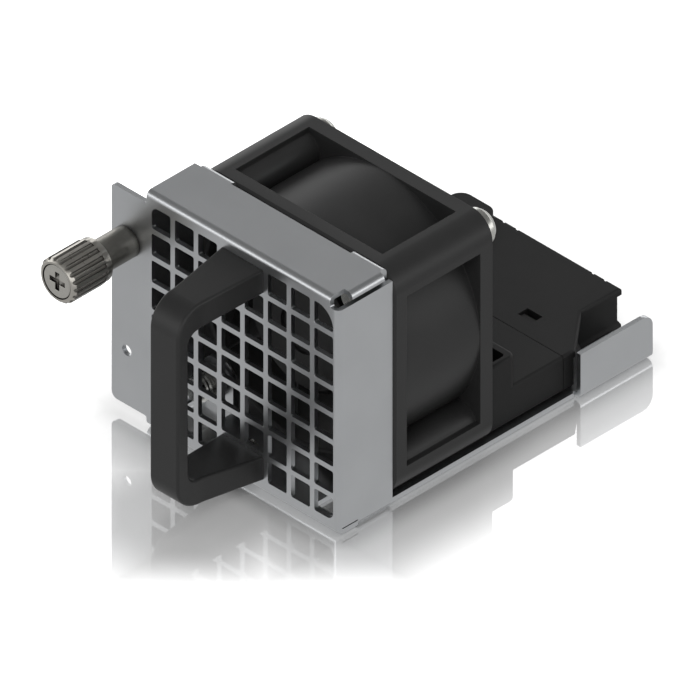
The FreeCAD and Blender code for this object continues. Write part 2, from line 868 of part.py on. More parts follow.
def make_handle():
    """The moulded C-shaped pull, tapered to its grip, with a screw hole in each foot."""
    body = new_body("handle")
    front = -s.sheet_t
    profile = [
        (front, s.grip_mid - s.foot_half_h),
        (-s.grip_front, s.grip_mid - s.grip_half_h, s.grip_r),
        (-s.grip_front, s.grip_mid + s.grip_half_h, s.grip_r),
        (front, s.grip_mid + s.foot_half_h),
        (front, s.grip_mid + s.foot_inner_half_h),
        (-s.grip_back, s.grip_mid + s.grip_inner_half_h, s.grip_inner_r),
        (-s.grip_back, s.grip_mid - s.grip_inner_half_h, s.grip_inner_r),
        (front, s.grip_mid - s.foot_inner_half_h),
    ]
    pad(body, "YZ_Plane", -s.foot_half_w, s.foot_half_w, [profile])
    sides = []
    for side in (-1, 1):
        sides.append(
            [
                (side * s.foot_half_w, front),
                (side * s.grip_half_w, -s.taper_end, s.taper_blend_r),
                (side * s.grip_half_w, -s.grip_front - OVER),
                (side * (s.foot_half_w + OVER), -s.grip_front - OVER),
                (side * (s.foot_half_w + OVER), front),
            ]
        )
    top = s.grip_mid + s.foot_half_h + OVER
    pocket(body, "XY_Plane", s.grip_mid - s.foot_half_h - OVER, top, sides)

    def is_long_edge(edge, middle):
        """An edge of the C outline, on either side face and off the plate."""
        beside = abs(middle.x) > float(s.grip_half_w) - EPS
        across = along(edge, 2) and middle.y > -float(s.grip_back) + EPS
        return beside and middle.y < front - EPS and not across

    round_edges(body, "Fillet", s.handle_edge_r, is_long_edge)
    spots = [(ZERO, s.grip_mid + side * foot_screw_half, s.handle_screw_r + s.fit) for side in (-1, 1)]
    deep = -s.handle_screw_len - s.screw_tip_gap
    pocket(body, "XZ_Plane", deep, front, circles=spots)


def make_handle_screws():
    """Two pan-head screws through the grille's pads into the handle's feet."""
    for number, side in enumerate((-1, 1), start=1):
        z = s.grip_mid + side * foot_screw_half
        shank = cylinder(ZERO, -s.handle_screw_len, z, s.handle_screw_r, s.handle_screw_len)
        head = cylinder(ZERO, ZERO, z, s.handle_head_r, s.handle_head_t)
        recess = cross_recess(ZERO, s.handle_head_t, z, s.handle_cross_len, s.cross_w, -s.handle_cross_deep)
        keep(f"handle_screw_{number}", cut(fuse(shank, head), recess))


def make_thumbscrew():
    """Captive screw: pressed sleeve, return spring, fluted knob and the screw fixed in it."""
    x = -s.thumb_x
    z = s.thumb_z
    plate_front = -s.sheet_t
    # Sleeve: pressed neck in the ear, barrel in front of it, inward lip at its front end
    outer = cylinder(x, -s.sleeve_front, z, s.sleeve_r, s.sleeve_front - s.sheet_t)
    neck = cylinder(x, plate_front, z, s.sleeve_press_r, s.sheet_t)
    bore = cylinder(x, -s.sleeve_front + s.sleeve_lip, z, s.sleeve_bore_r, s.sleeve_front + OVER)
    eye = cylinder(x, -s.sleeve_front - OVER, z, s.sleeve_lip_r, s.sleeve_lip + 2 * OVER)
    keep("captive_sleeve", cut(fuse(outer, neck), bore, eye))
    # Knob: cup over the sleeve, fluted outside, recess for the screw's head in front
    barrel = cylinder(x, -s.knob_front + s.knob_chamfer_len, z, s.knob_r, knob_len - s.knob_chamfer_len)
    nose = cone(x, -s.knob_front, z, s.knob_chamfer_r, s.knob_r, s.knob_chamfer_len)
    waist = ring(x, -s.knob_back - s.knob_collar_len, z, s.knob_collar_r, s.knob_r + OVER,
                 s.knob_collar_len + OVER)
    recess = cylinder(x, -s.knob_front - OVER, z, s.knob_recess_r, s.knob_recess_deep + OVER)
    cup = cylinder(x, cup_floor, z, s.sleeve_r + s.knob_bore_gap, -s.knob_back - cup_floor + OVER)
    hole = cylinder(x, -s.knob_front - OVER, z, s.captive_shank_r + s.fit, knob_len + OVER)
    flutes = []
    for index in range(int(s.flute_count)):
        angle = 2 * math.pi * index / s.flute_count
        flutes.append(
            cylinder(
                x + s.knob_r * math.cos(angle),
                -s.knob_front - OVER,
                z + s.knob_r * math.sin(angle),
                s.flute_r,
                knob_len - s.knob_collar_len + OVER,
            )
        )
    keep("thumbscrew_knob", cut(fuse(barrel, nose), waist, fuse(recess, cup, hole), fuse(*flutes)))
    # Screw: head in the recess, plain shank, threaded end behind the sleeve's lip
    face = -s.knob_front + s.knob_recess_deep - s.disc_t
    head = cylinder(x, face, z, s.disc_r, s.disc_t)
    shank = cylinder(x, face, z, s.captive_shank_r, thread_front - face + s.captive_shank_r)
    thread = cylinder(x, thread_front, z, s.captive_thread_r, thread_back - thread_front)
    point = cone(x, thread_back, z, s.captive_thread_r, s.captive_shank_r, s.captive_tip)
    recess = cross_recess(x, face, z, s.disc_cross_len, s.disc_cross_w, s.disc_cross_deep)
    keep("thumbscrew_screw", cut(fuse(head, shank, thread, point), recess))
    # Spring of square wire between the sleeve's lip and the knob's inner face
    start = float(cup_floor) + float(s.spring_end_gap)
    rise = -float(s.sleeve_front) - float(s.spring_end_gap) - float(s.spring_wire) - start
    helix = Part.makeHelix(rise / s.spring_turns, rise, float(s.spring_r))
    half = s.spring_wire / 2
    inner, outer_r = s.spring_r - half, s.spring_r + half
    square = Part.makePolygon(
        [
            FreeCAD.Vector(inner, 0, -half),
            FreeCAD.Vector(outer_r, 0, -half),
            FreeCAD.Vector(outer_r, 0, half),
            FreeCAD.Vector(inner, 0, half),
            FreeCAD.Vector(inner, 0, -half),
        ]
    )
    coil = Part.Wire(helix).makePipeShell([square], True, True)
    coil.rotate(FreeCAD.Vector(), FreeCAD.Vector(1, 0, 0), -90)
    coil.translate(FreeCAD.Vector(float(x), start + half, float(z)))
    feature("captive_spring", coil)


knob_len = s.knob_front - s.knob_back
cup_floor = -s.knob_front + s.knob_recess_deep + s.knob_face_t
thread_front = -s.sleeve_front + s.sleeve_lip + s.thread_gap
thread_back = -s.captive_tip - s.captive_end_inset


def make_fan_frame():
    """The moulded fan frame: two flanges, round duct, corner columns, rear struts and motor base."""
    body = new_body("fan_frame")
    half = s.fan_size / 2
    square = box_outline(-half, -half, half, half, s.fan_corner_r)
    inner_front = s.fan_front + s.fan_flange_t
    inner_back = fan_back - s.fan_flange_t
    pad(body, "XZ_Plane", s.fan_front, fan_back, circles=[(0.0, 0.0, s.duct_r + s.duct_wall)])
    pad(body, "XZ_Plane", s.fan_front, inner_front, [square])
    pad(body, "XZ_Plane", inner_back, fan_back, [square])
    column = box_outline(half - s.fan_column, half - s.fan_column, half, half)
    column[2] = (half, half, s.fan_corner_r)
    corner = pad(body, "XZ_Plane", inner_front, inner_back, [column])
    repeat(body, "PolarPattern", corner, "Y_Axis", Angle=360, Occurrences=4)
    hole = s.fan_hole_half_pitch
    boss = pad(body, "XZ_Plane", inner_front, inner_back, circles=[(hole, hole, s.fan_boss_r)])
    repeat(body, "PolarPattern", boss, "Y_Axis", Angle=360, Occurrences=4)
    pocket(body, "XZ_Plane", s.fan_front - OVER, fan_back + OVER, circles=[(0.0, 0.0, s.duct_r)])
    base_front = fan_back - s.motor_base_t
    pad(body, "XZ_Plane", base_front, fan_back, circles=[(0.0, 0.0, s.motor_base_r)])
    strut_front = fan_back - s.strut_deep
    strut = box_outline(s.motor_base_r - OVER, -s.strut_w / 2, s.duct_r + s.duct_wall / 2, s.strut_w / 2)
    arm = pad(body, "XZ_Plane", strut_front, fan_back, [strut])
    repeat(body, "PolarPattern", arm, "Y_Axis", Angle=360, Occurrences=4)
    lead = box_outline(
        s.motor_base_r - OVER, -s.lead_strut_w / 2, s.duct_r + s.duct_wall / 2, s.lead_strut_w / 2
    )
    pad(body, "XZ_Plane", fan_back - s.motor_base_t, fan_back, [lead])
    seat = tube_outer_r + s.fit
    pocket(body, "XZ_Plane", base_front - OVER, tube_back, circles=[(0.0, 0.0, seat)])
    holes = pocket(
        body, "XZ_Plane", s.fan_front - OVER, fan_back + OVER, circles=[(hole, hole, s.fan_hole_r)]
    )
    repeat(body, "PolarPattern", holes, "Y_Axis", Angle=360, Occurrences=4)
    for side in (-1, 1):
        sink = body.newObject("PartDesign::SubtractiveCone", body.Name + "_countersink")
        put(sink, side * hole, fan_back, -hole, FreeCAD.Rotation(FreeCAD.Vector(1, 0, 0), 90))
        bind(sink, "Radius1", s.flat_head_r + s.fit)
        bind(sink, "Radius2", s.fan_screw_r + s.fit)
        bind(sink, "Height", s.flat_head_t)
        doc.recompute()

    def is_front_rim(edge, middle):
        """An outer edge of the front flange's front face."""
        outside = max(abs(middle.x), abs(middle.z)) > float(half) - float(s.fan_corner_r) / 2
        return near(middle.y, s.fan_front) and outside

    round_edges(body, "Chamfer", s.fan_edge_chamfer, is_front_rim)
    body.Placement = FreeCAD.Placement(FreeCAD.Vector(0, 0, float(fan_mid_z)), FreeCAD.Rotation())
    body.setExpression(".Placement.Base.z", fan_mid_z.text)


def make_fan_screws():
    """Two pan-head screws above, two flush countersunk ones below, and a clinch nut for each."""
    number = 0
    tab_front = s.fan_front - s.sheet_t
    for level, flush in ((hole_low_z, True), (hole_high_z, False)):
        for side in (-1, 1):
            number += 1
            x = side * s.fan_hole_half_pitch
            shank = cylinder(x, s.fan_screw_tip, level, s.fan_screw_r, fan_back - s.fan_screw_tip)
            if flush:
                head = cone(x, fan_back - s.flat_head_t, level, s.fan_screw_r, s.flat_head_r, s.flat_head_t)
                top = fan_back
            else:
                top = fan_back + s.fan_head_t
                crown_start = top - s.fan_head_crown
                rim = cylinder(x, fan_back, level, s.fan_head_r, s.fan_head_t - s.fan_head_crown)
                crown = cone(x, crown_start, level, s.fan_head_r, s.fan_head_top_r, s.fan_head_crown)
                head = fuse(rim, crown)
            recess = cross_recess(x, top, level, s.cross_len, s.cross_w, -s.cross_deep)
            keep(f"fan_screw_{number}", cut(fuse(shank, head), recess))
            nut = cylinder(x, tab_front - s.nut_len, level, s.nut_r, s.nut_len)
            bore = cylinder(x, tab_front - s.nut_len - OVER, level, s.fan_screw_r + s.fit, s.nut_len + 2 * OVER)
            inside = s.box_half_w - s.sheet_t - s.nut_side_gap
            room = box(-inside, tab_front - s.nut_len, level - s.nut_r, inside, tab_front, level + s.nut_r)
            keep(f"clinch_nut_{number}", cut(common(nut, room), bore))


tube_outer_r = s.bearing_outer_r + s.tube_wall
tube_back = fan_back - s.tube_floor
tube_front = s.tube_front
yoke_front = s.hub_front + s.hub_face_t + s.face_gap
yoke_outer_r = s.hub_r - s.hub_wall - s.fit
magnet_outer_r = yoke_outer_r - s.yoke_t - s.fit
magnet_inner_r = magnet_outer_r - s.magnet_t
stator_r = magnet_inner_r - s.air_gap
front_bearing_y = tube_front + s.bearing_inset
rear_bearing_y = front_bearing_y + s.bearing_w + s.bearing_spacing
stator_front = s.stator_mid - s.stator_t / 2
stator_back = s.stator_mid + s.stator_t / 2


def make_motor():
    """Stator side: bearing tube, bearing rings, core, insulators, four coils and the motor board."""
    z = fan_mid_z
    tube = cylinder(0.0, tube_front, z, tube_outer_r, tube_back - tube_front)
    front_seat = cylinder(
        0.0, tube_front - OVER, z, s.bearing_outer_r + s.fit, front_bearing_y + s.bearing_w - tube_front + OVER
    )
    rear_seat = cylinder(0.0, rear_bearing_y, z, s.bearing_outer_r + s.fit, tube_back - rear_bearing_y + OVER)
    waist = cylinder(0.0, tube_front, z, s.bearing_outer_r - s.tube_shoulder, tube_back - tube_front)
    keep("bearing_tube", cut(tube, front_seat, rear_seat, waist))
    for name, start in (("front", front_bearing_y), ("rear", rear_bearing_y)):
        keep(
            f"bearing_{name}_outer",
            ring(0.0, start, z, s.bearing_inner_r + s.bearing_gap, s.bearing_outer_r, s.bearing_w),
        )
        keep(f"bearing_{name}_inner", ring(0.0, start, z, s.shaft_r + s.fit, s.bearing_inner_r, s.bearing_w))
    keep("stator_core", stator_piece(stator_front, s.stator_t, s.tooth_w / 2, stator_r, s.stator_yoke_r))
    grown = s.tooth_w / 2 + s.insulator_edge
    for name, start in (("front", stator_front - s.insulator_t), ("rear", stator_back)):
        outer = stator_r - s.insulator_step
        ring_r = s.stator_yoke_r + s.insulator_edge
        keep(f"stator_insulator_{name}", stator_piece(start, s.insulator_t, grown, outer, ring_r))
    coil_in = ring_r + s.coil_gap
    inner_w = grown + s.coil_gap
    outer_w = inner_w + s.coil_grow
    shoe_inner_r = stator_r - s.insulator_step - s.tooth_shoe_t - s.coil_gap
    coil_out = math.sqrt(shoe_inner_r ** 2 - outer_w ** 2)
    inner_l = s.stator_t / 2 + s.insulator_t + s.coil_gap
    outer_l = inner_l + s.coil_grow
    y = s.stator_mid
    for number, (across, side) in enumerate((("x", 1), ("z", 1), ("x", -1), ("z", -1)), start=1):
        edges = sorted([side * coil_in, side * coil_out])
        if across == "x":
            body = box(edges[0], y - outer_l, z - outer_w, edges[1], y + outer_l, z + outer_w)
            core = box(edges[0] - OVER, y - inner_l, z - inner_w, edges[1] + OVER, y + inner_l, z + inner_w)
        else:
            body = box(-outer_w, y - outer_l, z + edges[0], outer_w, y + outer_l, z + edges[1])
            core = box(-inner_w, y - inner_l, z + edges[0] - OVER, inner_w, y + inner_l, z + edges[1] + OVER)
        keep(f"stator_coil_{number}", cut(body, core))
    board_y = s.board_front
    keep("motor_board", ring(0.0, board_y, z, tube_outer_r + s.board_gap, s.board_r, s.board_t))


def stator_piece(start, thick, half_w, outer_r, ring_r):
    """A cross of four teeth with curved shoes on a ring round the bearing tube."""
    z = fan_mid_z
    hub = cylinder(0.0, start, z, ring_r, thick)
    reach = outer_r - s.tooth_shoe_t / 2
    flat = box(-reach, start, z - half_w, reach, start + thick, z + half_w)
    upright = box(-half_w, start, z - reach, half_w, start + thick, z + reach)
    rim = ring(0.0, start, z, outer_r - s.tooth_shoe_t, outer_r, thick)
    shoe = s.tooth_shoe_half_w
    spread = fuse(
        box(-outer_r, start, z - shoe, outer_r, start + thick, z + shoe),
        box(-shoe, start, z - outer_r, shoe, start + thick, z + outer_r),
    )
    gaps = cross_gaps(start, thick, shoe, outer_r)
    bore = cylinder(0.0, start - OVER, z, tube_outer_r + s.fit, thick + 2 * OVER)
    return cut(fuse(hub, flat, upright, cut(common(rim, spread), gaps)), bore)


def cross_gaps(start, thick, shoe, outer_r):
    """The four diagonal slots that part the tooth shoes."""
    z = fan_mid_z
    half = s.shoe_slot / 2
    slots = []
    for turn in (45, 135):
        part = doc.addObject("Part::Box", "Slot")
        bind(part, "Length", 2 * outer_r)
        bind(part, "Width", thick + 2 * OVER)
        bind(part, "Height", half * 2)
        rotation = FreeCAD.Rotation(FreeCAD.Vector(0, 1, 0), turn)
        offset = rotation.multVec(FreeCAD.Vector(-float(outer_r), 0, -float(half)))
        corner = FreeCAD.Vector(0, float(start) - OVER, float(z)) + offset
        part.Placement = FreeCAD.Placement(corner, rotation)
        slots.append(part)
    return fuse(*slots)


def blade_section(radius):
    """Closed outline of one blade at a distance from the axis, in the plane square to that radius."""
    share = (radius - s.hub_r) / (s.duct_r - s.hub_r)
    lean = math.radians(s.blade_lean_root + (s.blade_lean_tip - s.blade_lean_root) * share)
    middle = (s.blade_front + s.blade_back) / 2
    half = (s.blade_back - s.blade_front) / 2
    reach = half * math.tan(lean)
    edge = s.blade_edge_t / 2
    # The pole of a parabola lies twice as far out as its crown
    sides = []
    for swell in (2 * s.blade_bow + s.blade_t - edge, 2 * s.blade_bow - s.blade_t + edge):
        rim = edge if swell > 2 * s.blade_bow else -edge
        curve = Part.BezierCurve()
        curve.setPoles(
            [
                FreeCAD.Vector(rim - reach, middle - half, radius),
                FreeCAD.Vector(swell, middle, radius),
                FreeCAD.Vector(rim + reach, middle + half, radius),
            ]
        )
        sides.append(curve)
    upper, lower = sides
    back = Part.makeLine(upper.EndPoint, lower.EndPoint)
    front = Part.makeLine(lower.StartPoint, upper.StartPoint)
    lower.reverse()
    return Part.Wire([upper.toShape(), back, lower.toShape(), front])


def make_impeller():
    """The impeller: a hub cup with a dished face and seven twisted blades lofted out from it."""
    inner = s.hub_r - s.hub_wall
    face = s.hub_front
    hub = new_body("impeller_hub")
    del parts["impeller_hub"]
    spin(
        hub,
        "Revolution",
        [
            (0.0, face + s.hub_recess_deep),
            (s.hub_recess_r, face + s.hub_recess_deep),
            (s.hub_recess_r, face),
            (s.hub_r - s.hub_edge, face),
            (s.hub_r, face + s.hub_edge),
            (s.hub_r, s.hub_back),
            (inner, s.hub_back),
            (inner, face + s.hub_face_t),
            (0.0, face + s.hub_face_t),
        ],
    )
    hub.Placement = FreeCAD.Placement(FreeCAD.Vector(0, 0, float(fan_mid_z)), FreeCAD.Rotation())
    stations = (s.hub_r - s.blade_overrun, (s.hub_r + s.duct_r) / 2, s.duct_r + s.blade_overrun)
    sections = [blade_section(radius) for radius in stations]
    loft = Part.makeLoft(sections, True, False)
    tip = s.duct_r - s.blade_tip_gap
    deep = s.blade_back - s.blade_front + 2 * OVER
    start = FreeCAD.Vector(0, s.blade_front - OVER, 0)
    axis = FreeCAD.Vector(0, 1, 0)
    sweep = Part.makeCylinder(tip, deep, start, axis)
    root = Part.makeCylinder(s.hub_r - s.blade_sink, deep, start, axis)
    blade = loft.common(sweep).cut(root)
    blades = []
    for index in range(int(s.blade_count)):
        part = doc.addObject("Part::Feature", "Blade")
        part.Shape = blade
        turn = FreeCAD.Rotation(axis, 360 * index / s.blade_count)
        part.Placement = FreeCAD.Placement(FreeCAD.Vector(0, 0, float(fan_mid_z)), turn)
        blades.append(part)
    keep("impeller", fuse(hub, *blades))


def make_rotor():
    """Turning pieces inside the hub: steel yoke with bushing, magnet, shaft, washer and clip."""
    z = fan_mid_z
    back = s.hub_back - s.yoke_inset
    shell = cylinder(0.0, yoke_front, z, yoke_outer_r, back - yoke_front)
    inside = cylinder(0.0, yoke_front + s.yoke_t, z, yoke_outer_r - s.yoke_t, back - yoke_front)
    washer_front = front_bearing_y - s.washer_t
    bush = cylinder(0.0, yoke_front, z, s.bush_r, washer_front - yoke_front)
    hole = cylinder(0.0, yoke_front - OVER, z, s.shaft_r + s.fit, back)
    keep("rotor_yoke", cut(fuse(cut(shell, inside), bush), hole))
    magnet_front = stator_front - s.magnet_over
    magnet_len = s.stator_t + 2 * s.magnet_over
    keep("rotor_magnet", ring(0.0, magnet_front, z, magnet_inner_r, magnet_outer_r, magnet_len))
    shaft_back = rear_bearing_y + s.bearing_w + s.shaft_end
    keep("rotor_shaft", cylinder(0.0, yoke_front, z, s.shaft_r, shaft_back - yoke_front))
    keep("preload_washer", ring(0.0, washer_front, z, s.shaft_r + s.fit, s.bearing_inner_r, s.washer_t))
    clip_y = rear_bearing_y + s.bearing_w
    keep("shaft_clip", ring(0.0, clip_y, z, s.shaft_r + s.fit, s.bearing_inner_r, s.washer_t))


def make_lead_cover():
    """Low cover behind the fan, with an open-topped block where the fan's leads go in."""
    body = new_body("lead_cover")
    wide = s.cover_half_w
    pad(body, "XY_Plane", skirt_bottom, s.cover_top, [box_outline(-wide, s.cover_front, wide, s.cover_back)])
    entry = [
        (s.entry_inner_x, s.cover_front),
        (wide, s.cover_front),
        (wide, s.entry_back, s.entry_r),
        (s.entry_inner_x, s.entry_back, s.entry_r),
    ]
    pad(body, "XY_Plane", s.cover_top - s.cover_wall, s.entry_top, [entry])

    def is_top_edge(edge, middle):
        """The long side edges of the top and the block's rim, but not the edge at the fan."""
        rim = near(middle.z, s.entry_top) and middle.y > float(s.cover_front) + EPS
        side = near(middle.z, s.cover_top) and near(abs(middle.x), wide) and along(edge, 1)
        return rim or side

    round_edges(body, "Fillet", s.rim_r, is_top_edge)
    inside = wide - s.cover_wall
    hollow = box_outline(-inside, s.cover_front + s.cover_wall, inside, s.cover_back + OVER)
    pocket(body, "XY_Plane", skirt_bottom - OVER, s.cover_top - s.cover_wall, [hollow])
    well = [
        (s.entry_inner_x + s.entry_back_wall, s.cover_front - OVER),
        (wide - s.entry_side_wall, s.cover_front - OVER),
        (wide - s.entry_side_wall, s.entry_back - s.entry_back_wall, s.rim_r),
        (s.entry_inner_x + s.entry_back_wall, s.entry_back - s.entry_back_wall, s.rim_r),
    ]
    pocket(body, "XY_Plane", s.cover_top - s.cover_wall - OVER, s.entry_top + OVER, [well])
    spots = [(x, y, s.boss_r) for x, y in housing_screw_spots()[:2]]
    pad(body, "XY_Plane", s.sheet_t, s.cover_top - s.cover_wall, circles=spots)
    holes = [(x, y, s.housing_screw_r + s.fit) for x, y in housing_screw_spots()[:2]]
    pocket(body, "XY_Plane", s.sheet_t - OVER, s.housing_screw_len + s.joint_gap, circles=holes)


def neck_corners(inset):
    """The four corners of the housing's neck in plan, moved inwards by an inset."""
    slope = (s.housing_neck_front - s.housing_wide_back) / (s.cover_half_w - s.neck_right)
    left_neck = s.housing_wide_back + (s.cover_half_w - s.neck_left) * slope
    return [
        (s.neck_right - inset, s.housing_neck_front - inset / 2),
        (s.neck_right - inset, s.housing_back - inset),
        (-s.neck_left + inset, s.housing_back - inset),
        (-s.neck_left + inset, left_neck - inset / 2),
    ]


def housing_plan(inset, front_inset=0.0):
    """Plan outline of the connector housing, moved inwards all round by an inset."""
    wide = s.cover_half_w - inset
    front = s.cover_back + s.joint_gap + front_inset
    wide_back = s.housing_wide_back - inset / 2
    return [(-wide, front), (wide, front), (wide, wide_back), *neck_corners(inset), (-wide, wide_back)]


neck_mid = (s.neck_right - s.neck_left) / 2


def make_connector_housing():
    """Upper shell of the rear connector: lipped top, recessed flaring sides, hood, mouth and snap window."""
    body = new_body("connector_housing")
    plate_bottom = s.cover_top - s.lip_t
    pad(body, "XY_Plane", plate_bottom, s.cover_top, [housing_plan(0.0)])

    def is_lip_edge(edge, middle):
        """The upper edge of the lip, apart from the seam."""
        return near(middle.z, s.cover_top) and middle.y > float(s.cover_back) + 2 * float(s.joint_gap)

    round_edges(body, "Fillet", s.rim_r, is_lip_edge)
    pad(body, "XY_Plane", s.sheet_t, plate_bottom, [housing_plan(s.lip_over)])
    # Cheeks in line with the cover's sides, then the flare round the foot of the slopes and the neck
    cheeks = []
    for side in (-1, 1):
        inner = side * (s.cover_half_w - s.lip_over - s.cover_wall / 2)
        outer = side * s.cover_half_w
        cheeks.append(
            [
                (inner, s.cover_back + s.joint_gap),
                (outer, s.cover_back + s.joint_gap),
                (outer, s.housing_wide_back, s.rim_r),
                (inner, s.housing_wide_back),
            ]
        )
    pad(body, "XY_Plane", skirt_bottom, plate_bottom, cheeks)
    wide = s.cover_half_w - s.lip_over
    foot = [(-wide, s.housing_wide_back), (wide, s.housing_wide_back), *neck_corners(s.flare_inset)]
    flare = pad(body, "XY_Plane", s.sheet_t, s.flare_top, [foot])
    bind(flare, "TaperAngle", -s.flare_angle)
    doc.recompute()
    hollow = housing_plan(s.lip_over + s.cover_wall, -OVER)
    pocket(body, "XY_Plane", s.sheet_t - OVER, plate_bottom, [hollow])
    # Hood over the left rear wall of the tray
    hood = box_outline(-s.hood_left, s.hood_front, -s.hood_right, s.housing_back)
    hood[0] = (-s.hood_left, s.hood_front, s.hood_r)
    hood[3] = (-s.hood_left, s.housing_back, s.hood_r)
    hood[2] = (-s.hood_right, s.housing_back, s.hood_r)
    pad(body, "XY_Plane", s.rear_wall_low_top + s.hood_gap, s.hood_top, [hood])
    skirt = box_outline(
        -s.hood_left, s.hood_front + s.hood_r, -s.rear_wall_half_w - s.hood_gap, s.housing_back - s.hood_r
    )
    pad(body, "XY_Plane", s.hood_bottom, s.rear_wall_low_top + s.hood_gap, [skirt])
    # Mouth for the contacts in the rear wall
    mouth = box_outline(neck_mid - s.mouth_half_w, base_top, neck_mid + s.mouth_half_w, s.mouth_top)
    pocket(body, "XZ_Plane", s.housing_back - s.lip_over - s.cover_wall - OVER, s.housing_back + OVER, [mouth])
    # Notches in the rear edge of the top and the snap window
    notches = []
    half = s.neck_notch_w / 2
    notch_front = s.housing_back - s.neck_notch_deep
    for x in (-s.notch_outer_left, -s.notch_inner_left, s.notch_inner_right, s.notch_outer_right):
        notches.append(box_outline(x - half, notch_front, x + half, s.housing_back + OVER))
    pocket(body, "XY_Plane", plate_bottom - EPS, s.cover_top + OVER, notches)
    snap = box_outline(s.snap_left, s.snap_front, s.snap_right, s.snap_front + s.snap_len)
    pocket(body, "XY_Plane", plate_bottom - OVER, s.cover_top + OVER, [snap])
    spots = [(x, y, s.boss_r) for x, y in housing_screw_spots()[2:]]
    pad(body, "XY_Plane", base_top, plate_bottom, circles=spots)
    holes = [(x, y, s.housing_screw_r + s.fit) for x, y in housing_screw_spots()[2:]]
    pocket(body, "XY_Plane", s.sheet_t - OVER, s.housing_screw_len + s.joint_gap, circles=holes)


def make_connector_base():
    """Lower shell of the connector: tongue in the tray's notch, inner plate, ribs and snap hook."""
    body = new_body("connector_base")
    tongue = box_outline(
        -s.neck_left + s.joint_gap, s.notch_front + s.joint_gap, s.neck_right - s.joint_gap, s.housing_back
    )
    pad(body, "XY_Plane", ZERO, s.sheet_t, [tongue])
    plate = housing_plan(s.lip_over + s.cover_wall + s.hook_side_gap, s.hook_side_gap)
    pad(body, "XY_Plane", s.sheet_t, base_top, [plate])
    hook = box_outline(
        s.snap_left + s.hook_side_gap, s.snap_front, s.snap_right - s.fit, s.snap_front + s.hook_len
    )
    pad(body, "XY_Plane", base_top, s.cover_top - s.hook_side_gap, [hook])
    ribs = []
    for side in (-1, 1):
        rib_x = neck_mid + side * s.rib_x
        ribs.append(box_outline(rib_x - s.rib_w / 2, s.pcb_front, rib_x + s.rib_w / 2, s.pcb_back))
    pad(body, "XY_Plane", base_top, base_top + s.rib_h, ribs)
    holes = [(x, y, s.housing_screw_r + s.hole_gap) for x, y in housing_screw_spots()[2:]]
    pocket(body, "XY_Plane", s.sheet_t - OVER, base_top + OVER, circles=holes)


def make_connector_inside():
    """Board, contact carrier and contacts behind the mouth."""
    board_z = base_top + s.rib_h
    left = neck_mid - s.pcb_half_w
    right = neck_mid + s.pcb_half_w
    contact_z = board_z + s.pcb_t
    keep("connector_board", box(left, s.pcb_front, board_z, right, s.pcb_back, contact_z))
    inset = s.hook_side_gap
    block = box(
        neck_mid - s.mouth_half_w + inset,
        s.pcb_back + s.joint_gap,
        base_top,
        neck_mid + s.mouth_half_w - inset,
        s.housing_back - s.joint_gap,
        s.mouth_top - s.joint_gap,
    )
    slots = []
    for index in range(int(s.contact_count)):
        x = neck_mid + (index - (s.contact_count - 1) / 2) * s.contact_pitch
        half = s.contact_w / 2
        slots.append(
            box(
                x - half - s.fit,
                s.pcb_back,
                contact_z,
                x + half + s.fit,
                s.housing_back + OVER,
                contact_z + s.contact_t + s.contact_room,
            )
        )
        keep(
            f"contact_{index + 1}",
            box(
                x - half,
                s.pcb_front + s.contact_inset,
                contact_z,
                x + half,
                s.housing_back - s.contact_inset,
                contact_z + s.contact_t,
            ),
        )
    keep("contact_carrier", cut(block, fuse(*slots)))


def make_housing_screws():
    """Countersunk screws from under the tray into both rear housings."""
    for number, (x, y) in enumerate(housing_screw_spots(), start=1):
        head = cone(x, y, 0.0, s.housing_head_r, s.housing_screw_r, s.sheet_t, "Z")
        shank = cylinder(x, y, 0.0, s.housing_screw_r, s.housing_screw_len, "Z")
        keep(f"housing_screw_{number}", fuse(head, shank))


make_chassis()
make_handle()
make_handle_screws()
make_thumbscrew()
make_fan_frame()
make_fan_screws()
make_motor()
make_impeller()
make_rotor()
make_lead_cover()
make_connector_housing()
make_connector_base()
make_connector_inside()
make_housing_screws()
doc.recompute()


def check_and_write():
    """Refuse a failed object or an unsound shape, then write one STEP file for each sub-part."""
    for thing in doc.Objects:
        if "Invalid" in thing.State or "Error" in thing.State:
            raise RuntimeError(f"{thing.Label} failed: {thing.State}")
    for label, thing in parts.items():
        shape = thing.Shape
        if shape.isNull() or not shape.isValid() or not shape.Solids:
            raise RuntimeError(f"{label} has no sound shape")
    os.makedirs("parts", exist_ok=True)
    for label, thing in parts.items():
        thing.Shape.exportStep(f"parts/{label}.step")


check_and_write()
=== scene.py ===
import enum
import json
import logging
import math
from abc import ABC, abstractmethod
from dataclasses import dataclass
from typing import Any, Callable, Iterable

